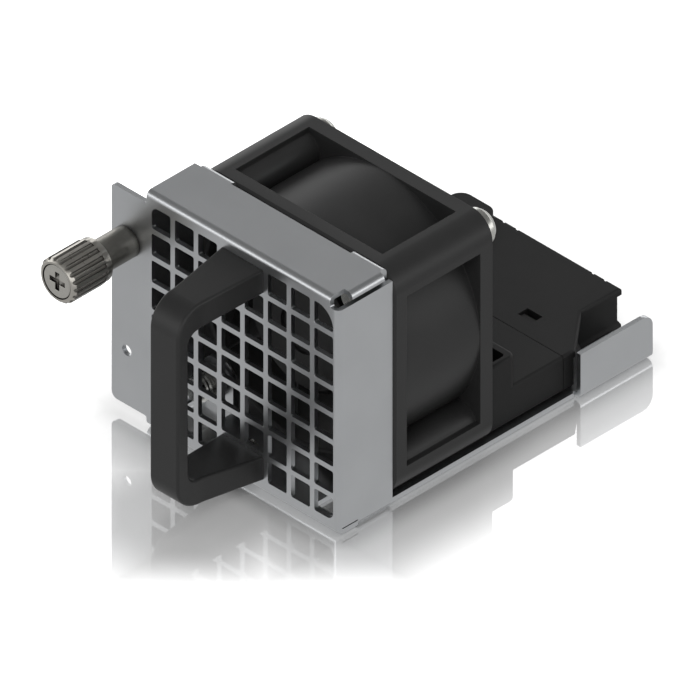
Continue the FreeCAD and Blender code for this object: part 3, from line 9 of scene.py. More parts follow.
import bmesh
import bpy
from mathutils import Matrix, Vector

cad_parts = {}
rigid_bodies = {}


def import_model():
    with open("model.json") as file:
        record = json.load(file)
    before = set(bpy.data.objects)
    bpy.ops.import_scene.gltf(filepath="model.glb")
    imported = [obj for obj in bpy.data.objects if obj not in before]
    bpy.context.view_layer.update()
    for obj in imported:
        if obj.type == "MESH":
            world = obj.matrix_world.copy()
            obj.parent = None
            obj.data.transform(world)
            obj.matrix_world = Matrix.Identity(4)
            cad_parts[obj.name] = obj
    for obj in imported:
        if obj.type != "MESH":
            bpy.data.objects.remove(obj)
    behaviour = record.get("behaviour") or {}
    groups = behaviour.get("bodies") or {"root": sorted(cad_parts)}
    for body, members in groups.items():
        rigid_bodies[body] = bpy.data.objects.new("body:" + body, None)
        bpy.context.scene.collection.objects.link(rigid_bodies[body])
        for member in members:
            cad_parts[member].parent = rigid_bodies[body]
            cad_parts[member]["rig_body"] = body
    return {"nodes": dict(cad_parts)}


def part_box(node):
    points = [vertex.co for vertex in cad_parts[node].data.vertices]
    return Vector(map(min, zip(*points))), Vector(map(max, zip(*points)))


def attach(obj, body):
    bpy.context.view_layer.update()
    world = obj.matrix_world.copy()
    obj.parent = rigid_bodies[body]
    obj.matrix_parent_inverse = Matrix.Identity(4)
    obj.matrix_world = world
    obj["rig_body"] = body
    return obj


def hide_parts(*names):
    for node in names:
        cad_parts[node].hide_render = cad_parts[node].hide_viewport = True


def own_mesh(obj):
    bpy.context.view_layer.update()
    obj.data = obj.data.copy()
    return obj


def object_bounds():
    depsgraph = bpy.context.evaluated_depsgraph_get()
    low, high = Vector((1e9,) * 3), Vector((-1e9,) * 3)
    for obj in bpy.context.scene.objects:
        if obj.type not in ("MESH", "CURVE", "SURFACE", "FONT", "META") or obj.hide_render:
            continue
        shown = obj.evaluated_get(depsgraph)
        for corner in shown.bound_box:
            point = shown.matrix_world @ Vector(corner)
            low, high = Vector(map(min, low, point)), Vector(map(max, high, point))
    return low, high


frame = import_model()
CAD_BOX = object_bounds()
LOG = logging.getLogger("fan_module")
MM = 0.001
# Least cosine between an edge and an axis at which the edge runs along that axis
PARALLEL = 0.999
# One wave of Blender's wave texture is this long at a scale of 1
WAVE = math.pi / 10
# The Mix node's colour sockets share their names with hidden ones, so they go by number
MIX_SHARE, MIX_FROM, MIX_TO, MIX_RESULT = 0, 6, 7, 2


class Axis(enum.Enum):
    """The row axis that a turned, wound or rolled piece lies along."""

    X = 0
    Y = 1
    Z = 2


def linear_from_hex(code: str) -> tuple[float, float, float, float]:
    """Turn an sRGB hex colour into linear RGBA.

    Args:
        code: Six hex digits, with or without a leading hash.

    Returns:
        The colour as Blender's shader sockets expect it.
    """
    digits = code.lstrip("#")
    channels = [int(digits[i : i + 2], 16) / 255 for i in (0, 2, 4)]
    linear = [c / 12.92 if c <= 0.04045 else ((c + 0.055) / 1.055) ** 2.4 for c in channels]
    return (linear[0], linear[1], linear[2], 1.0)


WHITE = linear_from_hex("#ffffff")


def add_node(
    tree: bpy.types.NodeTree,
    kind: str,
    inputs: dict | None = None,
    feeds: dict | None = None,
    **settings: Any,
) -> bpy.types.Node:
    """Add a shader node, with its settings made and its sockets filled or linked.

    Args:
        tree: The node tree that takes the node.
        kind: The node's Blender type name.
        inputs: Socket name or index to a value, or to the output socket that feeds it.
        feeds: Output name or index to the input socket that it feeds.
        **settings: The node's own attributes.

    Returns:
        The new node.
    """
    node = tree.nodes.new(kind)
    for name, value in settings.items():
        setattr(node, name, value)
    for key, value in (inputs or {}).items():
        if isinstance(value, bpy.types.NodeSocket):
            tree.links.new(value, node.inputs[key])
        else:
            node.inputs[key].default_value = value
    for key, socket in (feeds or {}).items():
        tree.links.new(node.outputs[key], socket)
    return node


@dataclass(frozen=True)
class Finish(ABC):
    """A surface finish: what the material is and how its surface was made."""

    name: str
    colour: str
    roughness: float

    @property
    def metallic(self) -> float:
        """Share of metal in the shader."""
        return 0.0

    @property
    def ior(self) -> float | None:
        """Index of refraction, or None to keep the shader's own."""
        return None

    def build(self) -> bpy.types.Material:
        """Make the material once and hand it out again after that.

        Returns:
            The finished material.
        """
        found = bpy.data.materials.get(self.name)
        if found:
            return found
        material = bpy.data.materials.new(self.name)
        material.use_nodes = True
        tree = material.node_tree
        shader = next(node for node in tree.nodes if node.type == "BSDF_PRINCIPLED")
        shader.inputs["Base Color"].default_value = linear_from_hex(self.colour)
        shader.inputs["Metallic"].default_value = self.metallic
        shader.inputs["Roughness"].default_value = self.roughness
        if self.ior:
            shader.inputs["IOR"].default_value = self.ior
        self.dress(tree, shader)
        material.diffuse_color = linear_from_hex(self.colour)
        return material

    @abstractmethod
    def dress(self, tree: bpy.types.NodeTree, shader: bpy.types.Node) -> None:
        """Add the pattern of this finish to the shader."""

    def place_in_mm(self, tree: bpy.types.NodeTree) -> bpy.types.NodeSocket:
        """Surface position in millimetres, fixed to the piece.

        Args:
            tree: The material's node tree.

        Returns:
            The position's socket.
        """
        coords = add_node(tree, "ShaderNodeTexCoord")
        scaled = add_node(
            tree, "ShaderNodeVectorMath", {0: coords.outputs["Object"], "Scale": 1 / MM}, operation="SCALE"
        )
        return scaled.outputs["Vector"]


@dataclass(frozen=True)
class RolledSheet(Finish):
    """Zinc-plated cold-rolled steel: satin, with faint rolling lines and soft clouding."""

    dark: str
    light: str
    # The mill's lines are finer on the real sheet, and this is as fine as shows
    line_mm: float = 0.12
    # How many times longer than wide a rolling line is
    line_run: float = 60.0
    cloud_mm: float = 9.0
    depth_mm: float = 0.0012
    rough_swing: float = 0.05

    @property
    def metallic(self) -> float:
        """Bare metal throughout."""
        return 1.0

    def dress(self, tree: bpy.types.NodeTree, shader: bpy.types.Node) -> None:
        """Rolling lines along the sheet's length and clouds in the plating.

        Args:
            tree: The material's node tree.
            shader: Its surface shader.
        """
        place = self.place_in_mm(tree)
        per_mm = (1 / self.line_mm, 1 / (self.line_run * self.line_mm), 1 / self.line_mm)
        along = add_node(tree, "ShaderNodeVectorMath", {0: place, 1: per_mm}, operation="MULTIPLY")
        lines = add_node(tree, "ShaderNodeTexNoise", {"Vector": along.outputs["Vector"], "Scale": 1.0})
        clouds = add_node(
            tree, "ShaderNodeTexNoise", {"Vector": place, "Scale": 1 / self.cloud_mm, "Detail": 4.0}
        )
        add_node(
            tree,
            "ShaderNodeMix",
            {
                MIX_SHARE: clouds.outputs["Fac"],
                MIX_FROM: linear_from_hex(self.dark),
                MIX_TO: linear_from_hex(self.light),
            },
            {MIX_RESULT: shader.inputs["Base Color"]},
            data_type="RGBA",
        )
        add_node(
            tree,
            "ShaderNodeMapRange",
            {
                "Value": lines.outputs["Fac"],
                "To Min": self.roughness - self.rough_swing,
                "To Max": self.roughness + self.rough_swing,
            },
            {"Result": shader.inputs["Roughness"]},
        )
        add_node(
            tree,
            "ShaderNodeBump",
            {"Height": lines.outputs["Fac"], "Strength": 1.0, "Distance": self.depth_mm * MM},
            {"Normal": shader.inputs["Normal"]},
        )


@dataclass(frozen=True)
class MouldedPlastic(Finish):
    """Injection-moulded thermoplastic with the fine spark-eroded texture of its mould."""

    worn: str
    # The mould's real grit is some 0.05 mm, drawn as coarse as it needs to show
    grit_mm: float = 0.22
    cloud_mm: float = 6.0
    depth_mm: float = 0.006
    # Share of the smooth plastic's gloss that its texture leaves, where 0.5 is all of it
    gloss: float = 0.35
    rough_swing: float = 0.06
    # Pointiness at which an edge begins to look rubbed and at which it is paled the most
    rubbed_at: tuple[float, float] = (0.52, 0.62)
    # The most of the worn colour that a rubbed edge takes
    rubbed_share: float = 0.6

    @property
    def ior(self) -> float:
        """Filled engineering plastics sit near 1.5."""
        return 1.5

    def dress(self, tree: bpy.types.NodeTree, shader: bpy.types.Node) -> None:
        """Grit from the mould, slight flow clouding and handled, paler edges.

        Args:
            tree: The material's node tree.
            shader: Its surface shader.
        """
        shader.inputs["Specular IOR Level"].default_value = self.gloss
        place = self.place_in_mm(tree)
        grit = add_node(
            tree, "ShaderNodeTexNoise", {"Vector": place, "Scale": 1 / self.grit_mm, "Detail": 3.0}
        )
        clouds = add_node(
            tree, "ShaderNodeTexNoise", {"Vector": place, "Scale": 1 / self.cloud_mm, "Detail": 2.0}
        )
        edges = add_node(tree, "ShaderNodeNewGeometry")
        rubbed = add_node(
            tree,
            "ShaderNodeMapRange",
            {
                "Value": edges.outputs["Pointiness"],
                "From Min": self.rubbed_at[0],
                "From Max": self.rubbed_at[1],
                "To Max": self.rubbed_share,
            },
        )
        flow = add_node(
            tree,
            "ShaderNodeMix",
            {
                MIX_SHARE: clouds.outputs["Fac"],
                MIX_FROM: linear_from_hex(self.colour),
                MIX_TO: linear_from_hex(self.worn),
            },
            data_type="RGBA",
        )
        add_node(
            tree,
            "ShaderNodeMix",
            {
                MIX_SHARE: rubbed.outputs["Result"],
                MIX_FROM: flow.outputs[MIX_RESULT],
                MIX_TO: linear_from_hex(self.worn),
            },
            {MIX_RESULT: shader.inputs["Base Color"]},
            data_type="RGBA",
        )
        add_node(
            tree,
            "ShaderNodeMapRange",
            {
                "Value": clouds.outputs["Fac"],
                "To Min": self.roughness - self.rough_swing,
                "To Max": self.roughness + self.rough_swing,
            },
            {"Result": shader.inputs["Roughness"]},
        )
        add_node(
            tree,
            "ShaderNodeBump",
            {"Height": grit.outputs["Fac"], "Strength": 1.0, "Distance": self.depth_mm * MM},
            {"Normal": shader.inputs["Normal"]},
        )


@dataclass(frozen=True)
class TurnedMetal(Finish):
    """Plated or polished turned metal: fine tool rings round its own axis."""

    light: str
    # The tool's real feed is some 0.1 mm, drawn as coarse as it needs to show
    ring_mm: float = 1.131
    ring_wobble: float = 0.4
    depth_mm: float = 0.0015
    stain_mm: float = 1.25
    # What the stains take from the roughness, and what they add to it
    rough_swing: tuple[float, float] = (0.05, 0.07)
    # How far the painted shade in a recess reaches, or 0 for none
    shade_mm: float = 0.0
    # The higher, the further out of a recess its painted shade shows
    shade_power: float = 2.0
    # Colour of the painted shade that ambient occlusion lays into the recesses
    painted_shade_colour: str = "#0b0a09"

    @property
    def metallic(self) -> float:
        """Bare metal throughout."""
        return 1.0

    def dress(self, tree: bpy.types.NodeTree, shader: bpy.types.Node) -> None:
        """Tool rings along the axis, small stains in the plating and painted shade in the recesses.

        Args:
            tree: The material's node tree.
            shader: Its surface shader.
        """
        place = self.place_in_mm(tree)
        rings = add_node(
            tree,
            "ShaderNodeTexWave",
            {"Vector": place, "Scale": WAVE / self.ring_mm, "Distortion": self.ring_wobble},
            wave_type="BANDS",
            bands_direction=Axis.Y.name,
        )
        stains = add_node(
            tree, "ShaderNodeTexNoise", {"Vector": place, "Scale": 1 / self.stain_mm, "Detail": 4.0}
        )
        colour = add_node(
            tree,
            "ShaderNodeMix",
            {
                MIX_SHARE: stains.outputs["Fac"],
                MIX_FROM: linear_from_hex(self.colour),
                MIX_TO: linear_from_hex(self.light),
            },
            data_type="RGBA",
        )
        # Painted shade: the base colour goes towards the shade colour where ambient occlusion finds a recess
        if self.shade_mm:
            recess = add_node(
                tree, "ShaderNodeAmbientOcclusion", {"Distance": self.shade_mm * MM}, samples=8
            )
            unshaded = add_node(
                tree, "ShaderNodeMath", {0: recess.outputs["AO"], 1: self.shade_power}, operation="POWER"
            )
            colour = add_node(
                tree,
                "ShaderNodeMix",
                {
                    MIX_SHARE: unshaded.outputs[0],
                    MIX_FROM: linear_from_hex(self.painted_shade_colour),
                    MIX_TO: colour.outputs[MIX_RESULT],
                },
                data_type="RGBA",
            )
        tree.links.new(colour.outputs[MIX_RESULT], shader.inputs["Base Color"])
        add_node(
            tree,
            "ShaderNodeMapRange",
            {
                "Value": stains.outputs["Fac"],
                "To Min": self.roughness - self.rough_swing[0],
                "To Max": self.roughness + self.rough_swing[1],
            },
            {"Result": shader.inputs["Roughness"]},
        )
        add_node(
            tree,
            "ShaderNodeBump",
            {"Height": rings.outputs["Fac"], "Strength": 1.0, "Distance": self.depth_mm * MM},
            {"Normal": shader.inputs["Normal"]},
        )


@dataclass(frozen=True)
class Layered(Finish):
    """Stacked or wound metal: laminations, or the turns of a coil, at a real pitch along one axis."""

    light: str
    pitch_mm: float
    lie: Axis
    metal: float = 1.0
    depth_mm: float = 0.05
    wobble: float = 0.1

    @property
    def metallic(self) -> float:
        """Share of metal showing."""
        return self.metal

    def dress(self, tree: bpy.types.NodeTree, shader: bpy.types.Node) -> None:
        """Rounded ridges at the pitch, darker in the seams between them.

        Args:
            tree: The material's node tree.
            shader: Its surface shader.
        """
        ridges = add_node(
            tree,
            "ShaderNodeTexWave",
            {
                "Vector": self.place_in_mm(tree),
                "Scale": WAVE / self.pitch_mm,
                "Distortion": self.wobble,
            },
            wave_type="BANDS",
            bands_direction=self.lie.name,
        )
        add_node(
            tree,
            "ShaderNodeMix",
            {
                MIX_SHARE: ridges.outputs["Fac"],
                MIX_FROM: linear_from_hex(self.colour),
                MIX_TO: linear_from_hex(self.light),
            },
            {MIX_RESULT: shader.inputs["Base Color"]},
            data_type="RGBA",
        )
        add_node(
            tree,
            "ShaderNodeBump",
            {"Height": ridges.outputs["Fac"], "Strength": 1.0, "Distance": self.depth_mm * MM},
            {"Normal": shader.inputs["Normal"]},
        )


@dataclass(frozen=True)
class CircuitBoard(Finish):
    """Glass-epoxy board under solder mask, with copper runs showing as paler bands."""

    light: str
    weave_mm: float = 0.5
    depth_mm: float = 0.004
    run_mm: float = 1.3
    # Gap between two runs, in units of the pattern
    run_gap: float = 0.06

    @property
    def ior(self) -> float:
        """Cured solder mask."""
        return 1.52

    def dress(self, tree: bpy.types.NodeTree, shader: bpy.types.Node) -> None:
        """Copper runs under the mask and the weave's faint relief.

        Args:
            tree: The material's node tree.
            shader: Its surface shader.
        """
        place = self.place_in_mm(tree)
        runs = add_node(
            tree,
            "ShaderNodeTexBrick",
            {"Vector": place, "Scale": 1 / self.run_mm, "Mortar Size": self.run_gap},
        )
        add_node(
            tree,
            "ShaderNodeMix",
            {
                MIX_SHARE: runs.outputs["Fac"],
                MIX_FROM: linear_from_hex(self.colour),
                MIX_TO: linear_from_hex(self.light),
            },
            {MIX_RESULT: shader.inputs["Base Color"]},
            data_type="RGBA",
        )
        weave = add_node(tree, "ShaderNodeTexChecker", {"Vector": place, "Scale": 1 / self.weave_mm})
        add_node(
            tree,
            "ShaderNodeBump",
            {"Height": weave.outputs["Fac"], "Strength": 1.0, "Distance": self.depth_mm * MM},
            {"Normal": shader.inputs["Normal"]},
        )


# Rolled and zinc-plated: satin grey that mirrors the room softly
SHEET = RolledSheet("zinc_plated_steel_sheet", "#bbbdbf", 0.34, dark="#b8babc", light="#c3c5c7")
# Glass-filled nylon with a fine mould texture: dark satin, edges go grey where fingers rub
GRIP = MouldedPlastic("glass_filled_nylon", "#181818", 0.46, worn="#202020")
# The fan frame's PBT: a shallower texture than the grip's, and less gloss
FAN = MouldedPlastic("moulded_pbt", "#1d1d1d", 0.44, worn="#252525", grit_mm=0.3, depth_mm=0.003, gloss=0.27)
# The impeller's PBT: darker and a touch smoother than the frame's
ROTOR = MouldedPlastic("moulded_pbt_impeller", "#151515", 0.42, worn="#1c1c1c", grit_mm=0.3, depth_mm=0.003)
# ABS and polycarbonate housings with a matte etched texture
HOUSING = MouldedPlastic("etched_pc_abs", "#151515", 0.56, worn="#1b1b1b", depth_mm=0.008, gloss=0.18)
# Liquid-crystal polymer, the dark grey of connector insulators and motor bobbins
CARRIER = MouldedPlastic("liquid_crystal_polymer", "#2b2b2b", 0.5, worn="#343434")
# Screws: bright zinc with the lathe's rings still on them
SCREW = TurnedMetal("bright_zinc_screw", "#b9b9b5", 0.26, light="#cfcfca")
# Clinch nuts: the same zinc, gone dull
NUT = TurnedMetal("dull_zinc_nut", "#7d7d7d", 0.42, light="#8d8d8d")
# Dark nickel plate over brass, with painted shade in the flutes: the knob
KNOB = TurnedMetal("dark_nickel_plate", "#aba8a1", 0.28, light="#bcb9b2", shade_mm=1.0)
# Satin stainless, dull where the knob slides, with painted shade in its recesses: the pressed sleeve
SLEEVE = TurnedMetal("satin_stainless_sleeve", "#8b8983", 0.38, light="#999791", shade_mm=1.0)
# Polished stainless, with painted shade in its recesses: the thumbscrew's own screw, the shaft, its clip and
# the bearing rings
POLISHED = TurnedMetal("polished_stainless_steel", "#b2b0aa", 0.22, light="#c2c0ba", shade_mm=1.0)
# Cold-drawn spring steel, as it comes off the reel
WIRE = TurnedMetal("drawn_spring_wire", "#8a8a8a", 0.3, light="#9a9a9a")
# Free-cutting brass, turned: the bearing tube
TUBE = TurnedMetal("turned_brass", "#b08d4a", 0.3, light="#c29f5a")
# Stacked silicon steel, each lamination half a millimetre thick
CORE = Layered("silicon_steel_laminations", "#4c4d50", 0.42, light="#6d6f73", pitch_mm=0.5, lie=Axis.Y)
# Deep-drawn mild steel, faintly stepped by its die
YOKE = Layered("drawn_steel_cup", "#6b6c6e", 0.4, light="#7a7b7d", pitch_mm=0.8, lie=Axis.Y, depth_mm=0.004)
# Rubber-bonded ferrite: near black, almost no metal showing
MAGNET = Layered("bonded_ferrite", "#242322", 0.6, light="#2e2d2b", pitch_mm=1.5, lie=Axis.Y, metal=0.2)
# Enamelled copper, turn beside turn
COIL = Layered("enamelled_copper_wire", "#5e2c14", 0.28, light="#b5693a", pitch_mm=0.22, lie=Axis.Y)
# Green solder mask over copper runs
BOARD = CircuitBoard("solder_masked_laminate", "#0d3a1e", 0.32, light="#1d5a33")
# Hard gold over nickel on the contacts
GOLD = TurnedMetal("gold_plated_contact", "#c79a45", 0.22, light="#d9ae58")


def axis_of(edge: bmesh.types.BMEdge) -> Axis | None:
    """The row axis that an edge runs along, or None for a slanted one."""
    run = (edge.verts[1].co - edge.verts[0].co).normalized()
    return next((axis for axis in Axis if abs(run[axis.value]) > PARALLEL), None)


def crease_angle(edge: bmesh.types.BMEdge) -> float:
    """Angle between an edge's two faces, or 0 on an open edge."""
    return edge.calc_face_angle(0.0) if len(edge.link_faces) == 2 else 0.0


@dataclass
class SubAssembly:
    """A group of pieces that are dressed together."""

    # Edges sharper than the crease are broken, and shading splits at edges sharper than the second angle
    crease: float = math.radians(32)
    shade_split: float = math.radians(50)
    # Faces within this angle of each other are one flat face
    flat_within: float = math.radians(0.5)
    # How much more than small faces the large ones count in a normal, where 50 is no more
    flat_weight: int = 80
    weld_mm: float = 0.002

    def dress_node(
        self,
        node: str,
        finish: Finish,
        edge_mm: float,
        segments: int = 2,
        first: Callable[[bmesh.types.BMesh], None] | None = None,
    ) -> bpy.types.Object:
        """Stand a finished copy in for a construction solid: welded, edges broken, flat faces true.

        Args:
            node: The construction node's name.
            finish: The finish that the copy wears.
            edge_mm: Width of the broken edges in millimetres, or 0 to break none.
            segments: How many facets round each broken edge.
            first: Work done on the welded mesh before its edges are broken.

        Returns:
            The finished piece, riding on the node's body.
        """
        source = frame["nodes"][node]
        mesh = bpy.data.meshes.new(f"{node}_mesh")
        work = bmesh.new()
        work.from_mesh(source.data)
        bmesh.ops.remove_doubles(work, verts=work.verts, dist=self.weld_mm * MM)
        bmesh.ops.dissolve_limit(
            work, angle_limit=self.flat_within, verts=work.verts, edges=work.edges, delimit={"NORMAL"}
        )
        if first:
            first(work)
        sharp = [edge for edge in work.edges if crease_angle(edge) > self.crease]
        if sharp and edge_mm:
            bmesh.ops.bevel(
                work,
                geom=sharp,
                offset=edge_mm * MM,
                offset_type="OFFSET",
                segments=segments,
                profile=0.5,
                affect="EDGES",
                clamp_overlap=True,
                miter_outer="SHARP",
            )
        work.to_mesh(mesh)
        work.free()
        return self.finish_piece(f"{node}_finished", mesh, finish, source["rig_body"], node)

    def finish_piece(
        self, name: str, mesh: bpy.types.Mesh, finish: Finish, body: str, node: str | None = None
    ) -> bpy.types.Object:
        """Make a mesh into a shaded piece that rides on a body.

        Args:
            name: The piece's name.
            mesh: Its mesh, in the row frame.
            finish: The finish that it wears.
            body: The body that it moves with.
            node: The construction node that it stands for, if it stands for one.

        Returns:
            The piece's object.
        """
        mesh.materials.clear()
        mesh.materials.append(finish.build())
        for polygon in mesh.polygons:
            polygon.use_smooth = True
        mesh.set_sharp_from_angle(angle=self.shade_split)
        piece = bpy.data.objects.new(name, mesh)
        bpy.context.scene.collection.objects.link(piece)
        weighted = piece.modifiers.new("true_flats", "WEIGHTED_NORMAL")
        weighted.keep_sharp = True
        weighted.weight = self.flat_weight
        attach(piece, body)
        if node:
            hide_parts(node)
        LOG.info("made %s with %d faces", name, len(mesh.polygons))
        return piece

    def dress_many(self, nodes: Iterable[str], finish: Finish, edge_mm: float) -> None:
        """Dress several nodes alike."""
        for node in nodes:
            self.dress_node(node, finish, edge_mm)


def numbered(stem: str) -> list[str]:
    """Names of the nodes that share a stem and end in a number."""
    return sorted(name for name in frame["nodes"] if name.startswith(stem) and name[len(stem) :].isdigit())


@dataclass
class Tray(SubAssembly):
    """The folded steel tray with its grille front."""

    window_r_mm: float = 0.33
    window_corner: float = math.radians(80)
    # How near to the plate's faces a punched edge has to end
    reach_mm: float = 0.01
    edge_mm: float = 0.08
    nut_edge_mm: float = 0.12

    def round_windows(self, work: bmesh.types.BMesh) -> None:
        """Round the punched windows' corners, which are the short inside edges through the plate.

        Args:
            work: The tray's welded mesh.
        """
        plate_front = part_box("chassis")[0].y
        corners = []
        for edge in work.edges:
            low, high = sorted(vert.co.y for vert in edge.verts)
            through = max(abs(low - plate_front), abs(high)) < self.reach_mm * MM
            if axis_of(edge) is Axis.Y and through and crease_angle(edge) > self.window_corner:
                corners.append(edge)
        bmesh.ops.bevel(
            work,
            geom=corners,
            offset=self.window_r_mm * MM,
            offset_type="OFFSET",
            segments=3,
            profile=0.5,
            affect="EDGES",
            clamp_overlap=True,
        )
        LOG.info("rounded %d window corners", len(corners))

    def build(self) -> None:
        """Make the tray and its clinch nuts."""
        self.dress_node("chassis", SHEET, self.edge_mm, first=self.round_windows)
        self.dress_many(numbered("clinch_nut_"), NUT, self.nut_edge_mm)


@dataclass
class PullHandle(SubAssembly):
    """The moulded pull and the screws in its feet."""

    edge_mm: float = 0.05
    screw_edge_mm: float = 0.08

    def build(self) -> None:
        """Make the pull and its screws."""
        self.dress_node("handle", GRIP, self.edge_mm)
        self.dress_many(numbered("handle_screw_"), SCREW, self.screw_edge_mm)


@dataclass
class Thumbscrew(SubAssembly):
    """The captive thumbscrew on the ear."""

    push_mm: float = 4.3
    sleeve_edge_mm: float = 0.08
    knob_edge_mm: float = 0.05
    screw_edge_mm: float = 0.06
    # The wire keeps the edges that it was drawn with
    wire_edge_mm: float = 0.0

    def build(self) -> None:
        """Make the sleeve, the fluted knob, its screw and the spring that the knob squeezes."""
        self.dress_node("captive_sleeve", SLEEVE, self.sleeve_edge_mm)
        self.dress_node("thumbscrew_knob", KNOB, self.knob_edge_mm)
        self.dress_node("thumbscrew_screw", POLISHED, self.screw_edge_mm)
        spring = self.dress_node("captive_spring", WIRE, self.wire_edge_mm)
        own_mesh(spring)


@dataclass
class FanUnit(SubAssembly):
    """The axial fan: frame, impeller, motor and bearings."""

    frame_edge_mm: float = 0.15
    blade_edge_mm: float = 0.08
    core_edge_mm: float = 0.05
    insulator_edge_mm: float = 0.08
    coil_edge_mm: float = 0.3
    board_edge_mm: float = 0.03
    yoke_edge_mm: float = 0.06
    magnet_edge_mm: float = 0.1
    tube_edge_mm: float = 0.05
    ring_edge_mm: float = 0.06
    shaft_edge_mm: float = 0.03

    def build(self) -> None:
        """Make the fan from its frame inwards."""
        self.dress_node("fan_frame", FAN, self.frame_edge_mm)
        self.dress_node("impeller", ROTOR, self.blade_edge_mm)
        self.dress_node("stator_core", CORE, self.core_edge_mm)
        insulators = ["stator_insulator_front", "stator_insulator_rear"]
        self.dress_many(insulators, CARRIER, self.insulator_edge_mm)
        self.dress_many(numbered("stator_coil_"), COIL, self.coil_edge_mm)
        self.dress_node("motor_board", BOARD, self.board_edge_mm)
        self.dress_node("rotor_yoke", YOKE, self.yoke_edge_mm)
        self.dress_node("rotor_magnet", MAGNET, self.magnet_edge_mm)
        self.dress_node("bearing_tube", TUBE, self.tube_edge_mm)
        rings = {name for name in frame["nodes"] if name.startswith("bearing_")} - {"bearing_tube"}
        self.dress_many(sorted(rings), POLISHED, self.ring_edge_mm)
        self.dress_many(["rotor_shaft", "preload_washer", "shaft_clip"], POLISHED, self.shaft_edge_mm)


@dataclass
class FanHardware(SubAssembly):
    """The four long screws through the fan, with their threaded tips."""

    head_edge_mm: float = 0.25
    head_facets: int = 3
    pitch_mm: float = 0.7
    shank_r_mm: float = 2.0
    crest_mm: float = 0.13
    # How far the thread's foot is sunk into the shank
    foot_mm: float = 0.02
    # Half the width of the thread's ridge, as a share of its pitch
    flank: float = 0.42
    thread_start_mm: float = 0.25
    thread_len_mm: float = 2.2
    steps_per_turn: int = 28
    # Over how many steps the ridge rises from the shank at either end
    run_out_steps: int = 8

    def thread(self, node: str) -> None:
        """Wind the visible end of a screw's thread on its plain shank.

        Args:
            node: The screw's construction node.
        """
        low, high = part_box(node)
        centre = Vector(((low.x + high.x) / 2, low.y, (low.z + high.z) / 2))
        steps = int(self.thread_len_mm / self.pitch_mm * self.steps_per_turn)
        half = self.pitch_mm * self.flank
        foot_r = self.shank_r_mm - self.foot_mm
        work = bmesh.new()
        rows = []
        for step in range(steps + 1):
            turn = step / self.steps_per_turn
            angle = 2 * math.pi * turn
            rise = min(1.0, step / self.run_out_steps, (steps - step) / self.run_out_steps)
            crest_r = foot_r + (self.crest_mm + self.foot_mm) * rise
            along = self.thread_start_mm + self.pitch_mm * turn
            row = []
            for shift, r in ((-half, foot_r), (0.0, crest_r), (half, foot_r)):
                spot = Vector((r * math.cos(angle), along + shift, r * math.sin(angle))) * MM
                row.append(work.verts.new(centre + spot))
            rows.append(row)
        for near, far in zip(rows, rows[1:]):
            for a, b in ((0, 1), (1, 2), (2, 0)):
                work.faces.new((near[a], near[b], far[b], far[a]))
        work.faces.new(rows[0])
        work.faces.new(list(reversed(rows[-1])))
        bmesh.ops.recalc_face_normals(work, faces=work.faces)
        mesh = bpy.data.meshes.new(f"{node}_thread_mesh")
        work.to_mesh(mesh)
        work.free()
        piece = self.finish_piece(f"{node}_thread", mesh, SCREW, "module")

    def build(self) -> None:
        """Make the screws and cut their visible threads."""
        for node in numbered("fan_screw_"):
            self.dress_node(node, SCREW, self.head_edge_mm, self.head_facets)
            self.thread(node)


@dataclass
class RearConnector(SubAssembly):
    """Lead cover and connector housings at the tray's rear, with what is inside them."""

    edge_mm: float = 0.1
    carrier_edge_mm: float = 0.06
    board_edge_mm: float = 0.03
    contact_edge_mm: float = 0.03
    screw_edge_mm: float = 0.04

    def build(self) -> None:
        """Make the housings, the board, the carrier, its contacts and the screws below."""
        self.dress_many(["lead_cover", "connector_housing", "connector_base"], HOUSING, self.edge_mm)
        self.dress_node("contact_carrier", CARRIER, self.carrier_edge_mm)
        self.dress_node("connector_board", BOARD, self.board_edge_mm)
        self.dress_many(numbered("contact_"), GOLD, self.contact_edge_mm)
        self.dress_many(numbered("housing_screw_"), SCREW, self.screw_edge_mm)


@dataclass(frozen=True)
class Softbox:
    """A square soft lamp."""

    name: str
    place_m: tuple[float, float, float]
    watts: float
    side_m: float


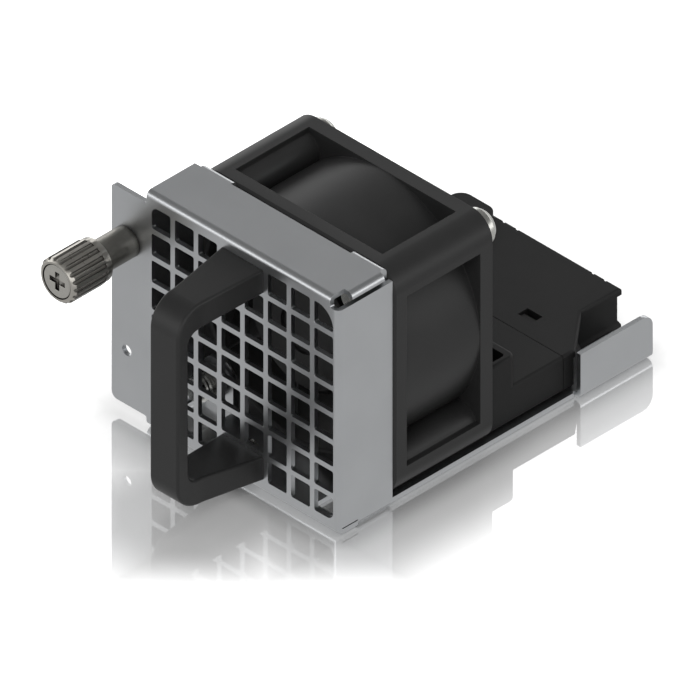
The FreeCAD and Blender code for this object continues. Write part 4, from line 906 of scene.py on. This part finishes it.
@dataclass
class Studio:
    """Isometric camera, soft lights and a pale floor with a fading mirror image."""

    # The camera looks down the cube's diagonal, at the point that the photograph has in its middle
    sight: tuple[float, float, float] = (-1.0, 1.0, -1.0)
    look_at_mm: tuple[float, float, float] = (8.21, 12.96, 20.35)
    view_width_mm: float = 101.07
    distance_mm: float = 500.0
    clip_end_m: float = 10.0
    lamps: tuple[Softbox, ...] = (
        Softbox("key_softbox", (0.55, -0.9, 0.95), 9.0, 0.7),
        Softbox("top_softbox", (-0.2, 0.3, 1.2), 7.0, 0.9),
    )
    # Strength of the plain sky that lights matte surfaces
    sky: float = 0.55
    floor_half_mm: float = 4000.0
    # The floor lies this far under the tray
    floor_gap_mm: float = 0.33
    # Share of its mirror image at the tray, and where that begins to fade and where it is gone
    mirror: float = 0.72
    fade_mm: tuple[float, float] = (3.0, 27.0)
    # What the floor gives out for the eye, so as to be white, and how far from the tray it gives all of it;
    # nearer the tray the glow fades as a painted contact shadow
    floor_glow: float = 0.6
    painted_shadow_mm: float = 5.0
    # How bright gloss sees the floor
    floor_in_gloss: float = 0.62
    # Sine of the elevation to the brightness that gloss shows there: a bright band low down, dim above
    room_levels: tuple[tuple[float, float], ...] = (
        (0.0, 1.9),
        (0.33, 1.9),
        (0.42, 0.38),
        (0.58, 0.27),
        (0.78, 0.23),
        (1.0, 0.23),
    )

    def camera(self) -> None:
        """Stand the camera on the photograph's isometric line of sight."""
        data = bpy.data.cameras.new("isometric_camera")
        data.type = "ORTHO"
        data.ortho_scale = self.view_width_mm * MM
        data.clip_end = self.clip_end_m
        camera = bpy.data.objects.new("isometric_camera", data)
        bpy.context.scene.collection.objects.link(camera)
        sight = Vector(self.sight).normalized()
        camera.location = Vector(self.look_at_mm) * MM - sight * self.distance_mm * MM
        camera.rotation_mode = "QUATERNION"
        camera.rotation_quaternion = sight.to_track_quat("-Z", "Y")
        bpy.context.scene.camera = camera

    def lamp(self, box: Softbox) -> None:
        """Hang a soft lamp that points at the object and that gloss doesn't show.

        Args:
            box: The lamp's name, place, power and size.
        """
        data = bpy.data.lights.new(box.name, "AREA")
        data.energy = box.watts
        data.size = box.side_m
        lamp = bpy.data.objects.new(box.name, data)
        lamp.visible_glossy = False
        bpy.context.scene.collection.objects.link(lamp)
        lamp.location = Vector(box.place_m)
        aim = Vector(self.look_at_mm) * MM - lamp.location
        lamp.rotation_mode = "QUATERNION"
        lamp.rotation_quaternion = aim.to_track_quat("-Z", "Y")

    def seen_plainly(self, tree: bpy.types.NodeTree, path: bpy.types.Node) -> bpy.types.NodeSocket:
        """One for rays from the eye, through clear material or off the floor's sharp mirror.

        Args:
            tree: The world's node tree.
            path: Its light path node.

        Returns:
            The socket that tells these rays from the others.
        """
        through = add_node(
            tree,
            "ShaderNodeMath",
            {0: path.outputs["Is Camera Ray"], 1: path.outputs["Is Transmission Ray"]},
            operation="MAXIMUM",
        )
        with_sharp = add_node(
            tree,
            "ShaderNodeMath",
            {0: through.outputs[0], 1: path.outputs["Is Singular Ray"]},
            operation="MAXIMUM",
        )
        return with_sharp.outputs[0]

    def world(self) -> None:
        """White surroundings for the eye, a banded room for gloss and a plain sky for light."""
        world = bpy.data.worlds.new("studio_room")
        bpy.context.scene.world = world
        world.use_nodes = True
        tree = world.node_tree
        tree.nodes.clear()
        path = add_node(tree, "ShaderNodeLightPath")
        coords = add_node(tree, "ShaderNodeTexCoord")
        split = add_node(tree, "ShaderNodeSeparateXYZ", {"Vector": coords.outputs["Generated"]})
        ramp = add_node(tree, "ShaderNodeValToRGB", {"Fac": split.outputs["Z"]})
        brightest = max(level for height, level in self.room_levels)
        stops = ramp.color_ramp.elements
        while len(stops) < len(self.room_levels):
            stops.new(1.0)
        for stop, (height, level) in zip(stops, self.room_levels):
            stop.position = height
            stop.color = (level / brightest, level / brightest, level / brightest, 1.0)
        sky = add_node(tree, "ShaderNodeBackground", {"Color": WHITE, "Strength": self.sky})
        room = add_node(
            tree, "ShaderNodeBackground", {"Color": ramp.outputs["Color"], "Strength": brightest}
        )
        white = add_node(tree, "ShaderNodeBackground", {"Color": WHITE, "Strength": 1.0})
        around = add_node(
            tree,
            "ShaderNodeMixShader",
            {0: path.outputs["Is Glossy Ray"], 1: sky.outputs[0], 2: room.outputs[0]},
        )
        seen = add_node(
            tree,
            "ShaderNodeMixShader",
            {0: self.seen_plainly(tree, path), 1: around.outputs[0], 2: white.outputs[0]},
        )
        add_node(tree, "ShaderNodeOutputWorld", {"Surface": seen.outputs[0]})

    def distance_from(
        self, tree: bpy.types.NodeTree, place: bpy.types.Node, node: str
    ) -> bpy.types.NodeSocket:
        """How far a floor point lies from below a piece, counted along X and Y.

        Args:
            tree: The floor's node tree.
            place: The node that splits the floor point's position.
            node: The construction node.

        Returns:
            The distance in metres.
        """
        low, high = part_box(node)
        total = 0.0
        for axis in (Axis.X, Axis.Y):
            spot = place.outputs[axis.name]
            before = add_node(tree, "ShaderNodeMath", {0: low[axis.value], 1: spot}, operation="SUBTRACT")
            behind = add_node(tree, "ShaderNodeMath", {0: spot, 1: high[axis.value]}, operation="SUBTRACT")
            most = add_node(
                tree, "ShaderNodeMath", {0: before.outputs[0], 1: behind.outputs[0]}, operation="MAXIMUM"
            )
            outside = add_node(tree, "ShaderNodeMath", {0: most.outputs[0], 1: 0.0}, operation="MAXIMUM")
            summed = add_node(tree, "ShaderNodeMath", {0: total, 1: outside.outputs[0]}, operation="ADD")
            total = summed.outputs[0]
        return total

    def floor_material(self) -> bpy.types.Material:
        """White floor that keeps soft shadow from the lamps, darkens near the tray with a painted contact
        shadow, and mirrors the object near its foot.

        Returns:
            The floor's material.
        """
        material = bpy.data.materials.new("glossy_white_acrylic")
        material.use_nodes = True
        tree = material.node_tree
        tree.nodes.clear()
        path = add_node(tree, "ShaderNodeLightPath")
        geometry = add_node(tree, "ShaderNodeNewGeometry")
        place = add_node(tree, "ShaderNodeSeparateXYZ", {"Vector": geometry.outputs["Position"]})
        from_tray = self.distance_from(tree, place, "chassis")
        from_handle = self.distance_from(tree, place, "handle")
        away = add_node(tree, "ShaderNodeMath", {0: from_tray, 1: from_handle}, operation="MINIMUM")
        # Painted contact shadow: the floor's glow for the eye falls to nothing as it nears the tray
        painted_contact_shadow = add_node(
            tree,
            "ShaderNodeMapRange",
            {"Value": from_tray, "From Max": self.painted_shadow_mm * MM, "To Min": 0.0, "To Max": self.floor_glow},
            interpolation_type="SMOOTHSTEP",
        )
        fade = add_node(
            tree,
            "ShaderNodeMapRange",
            {
                "Value": away.outputs[0],
                "From Min": self.fade_mm[0] * MM,
                "From Max": self.fade_mm[1] * MM,
                "To Min": self.mirror,
                "To Max": 0.0,
            },
            interpolation_type="SMOOTHSTEP",
        )
        lit = add_node(tree, "ShaderNodeBsdfDiffuse", {"Color": WHITE})
        glow = add_node(
            tree, "ShaderNodeEmission", {"Color": WHITE, "Strength": painted_contact_shadow.outputs["Result"]}
        )
        glowing = add_node(tree, "ShaderNodeAddShader", {0: lit.outputs[0], 1: glow.outputs[0]})
        to_the_eye = add_node(
            tree,
            "ShaderNodeMixShader",
            {0: path.outputs["Is Camera Ray"], 1: lit.outputs[0], 2: glowing.outputs[0]},
        )
        mirror = add_node(tree, "ShaderNodeBsdfGlossy", {"Roughness": 0.0})
        mirrored = add_node(
            tree,
            "ShaderNodeMixShader",
            {0: fade.outputs["Result"], 1: to_the_eye.outputs[0], 2: mirror.outputs[0]},
        )
        plain = add_node(tree, "ShaderNodeEmission", {"Color": WHITE, "Strength": self.floor_in_gloss})
        surface = add_node(
            tree,
            "ShaderNodeMixShader",
            {0: path.outputs["Is Glossy Ray"], 1: mirrored.outputs[0], 2: plain.outputs[0]},
        )
        add_node(tree, "ShaderNodeOutputMaterial", {"Surface": surface.outputs[0]})
        return material

    def floor(self) -> None:
        """Lay the floor just under the tray."""
        half = self.floor_half_mm * MM
        mesh = bpy.data.meshes.new("studio_floor")
        level = CAD_BOX[0].z - self.floor_gap_mm * MM
        corners = [(-half, -half, level), (half, -half, level), (half, half, level), (-half, half, level)]
        mesh.from_pydata(corners, [], [(0, 1, 2, 3)])
        mesh.materials.append(self.floor_material())
        floor = bpy.data.objects.new("studio_floor", mesh)
        bpy.context.scene.collection.objects.link(floor)

    def build(self) -> None:
        """Set up the whole studio."""
        self.camera()
        self.world()
        for box in self.lamps:
            self.lamp(box)
        self.floor()
        bpy.context.scene.view_settings.view_transform = "Standard"


def main() -> None:
    """Build the studio and every sub-assembly."""
    logging.basicConfig(level=logging.INFO, format="%(name)s: %(message)s")
    for group in (Studio(), Tray(), PullHandle(), Thumbscrew(), FanUnit(), FanHardware(), RearConnector()):
        LOG.info("building %s", type(group).__name__)
        group.build()


if __name__ == "__main__":
    main()
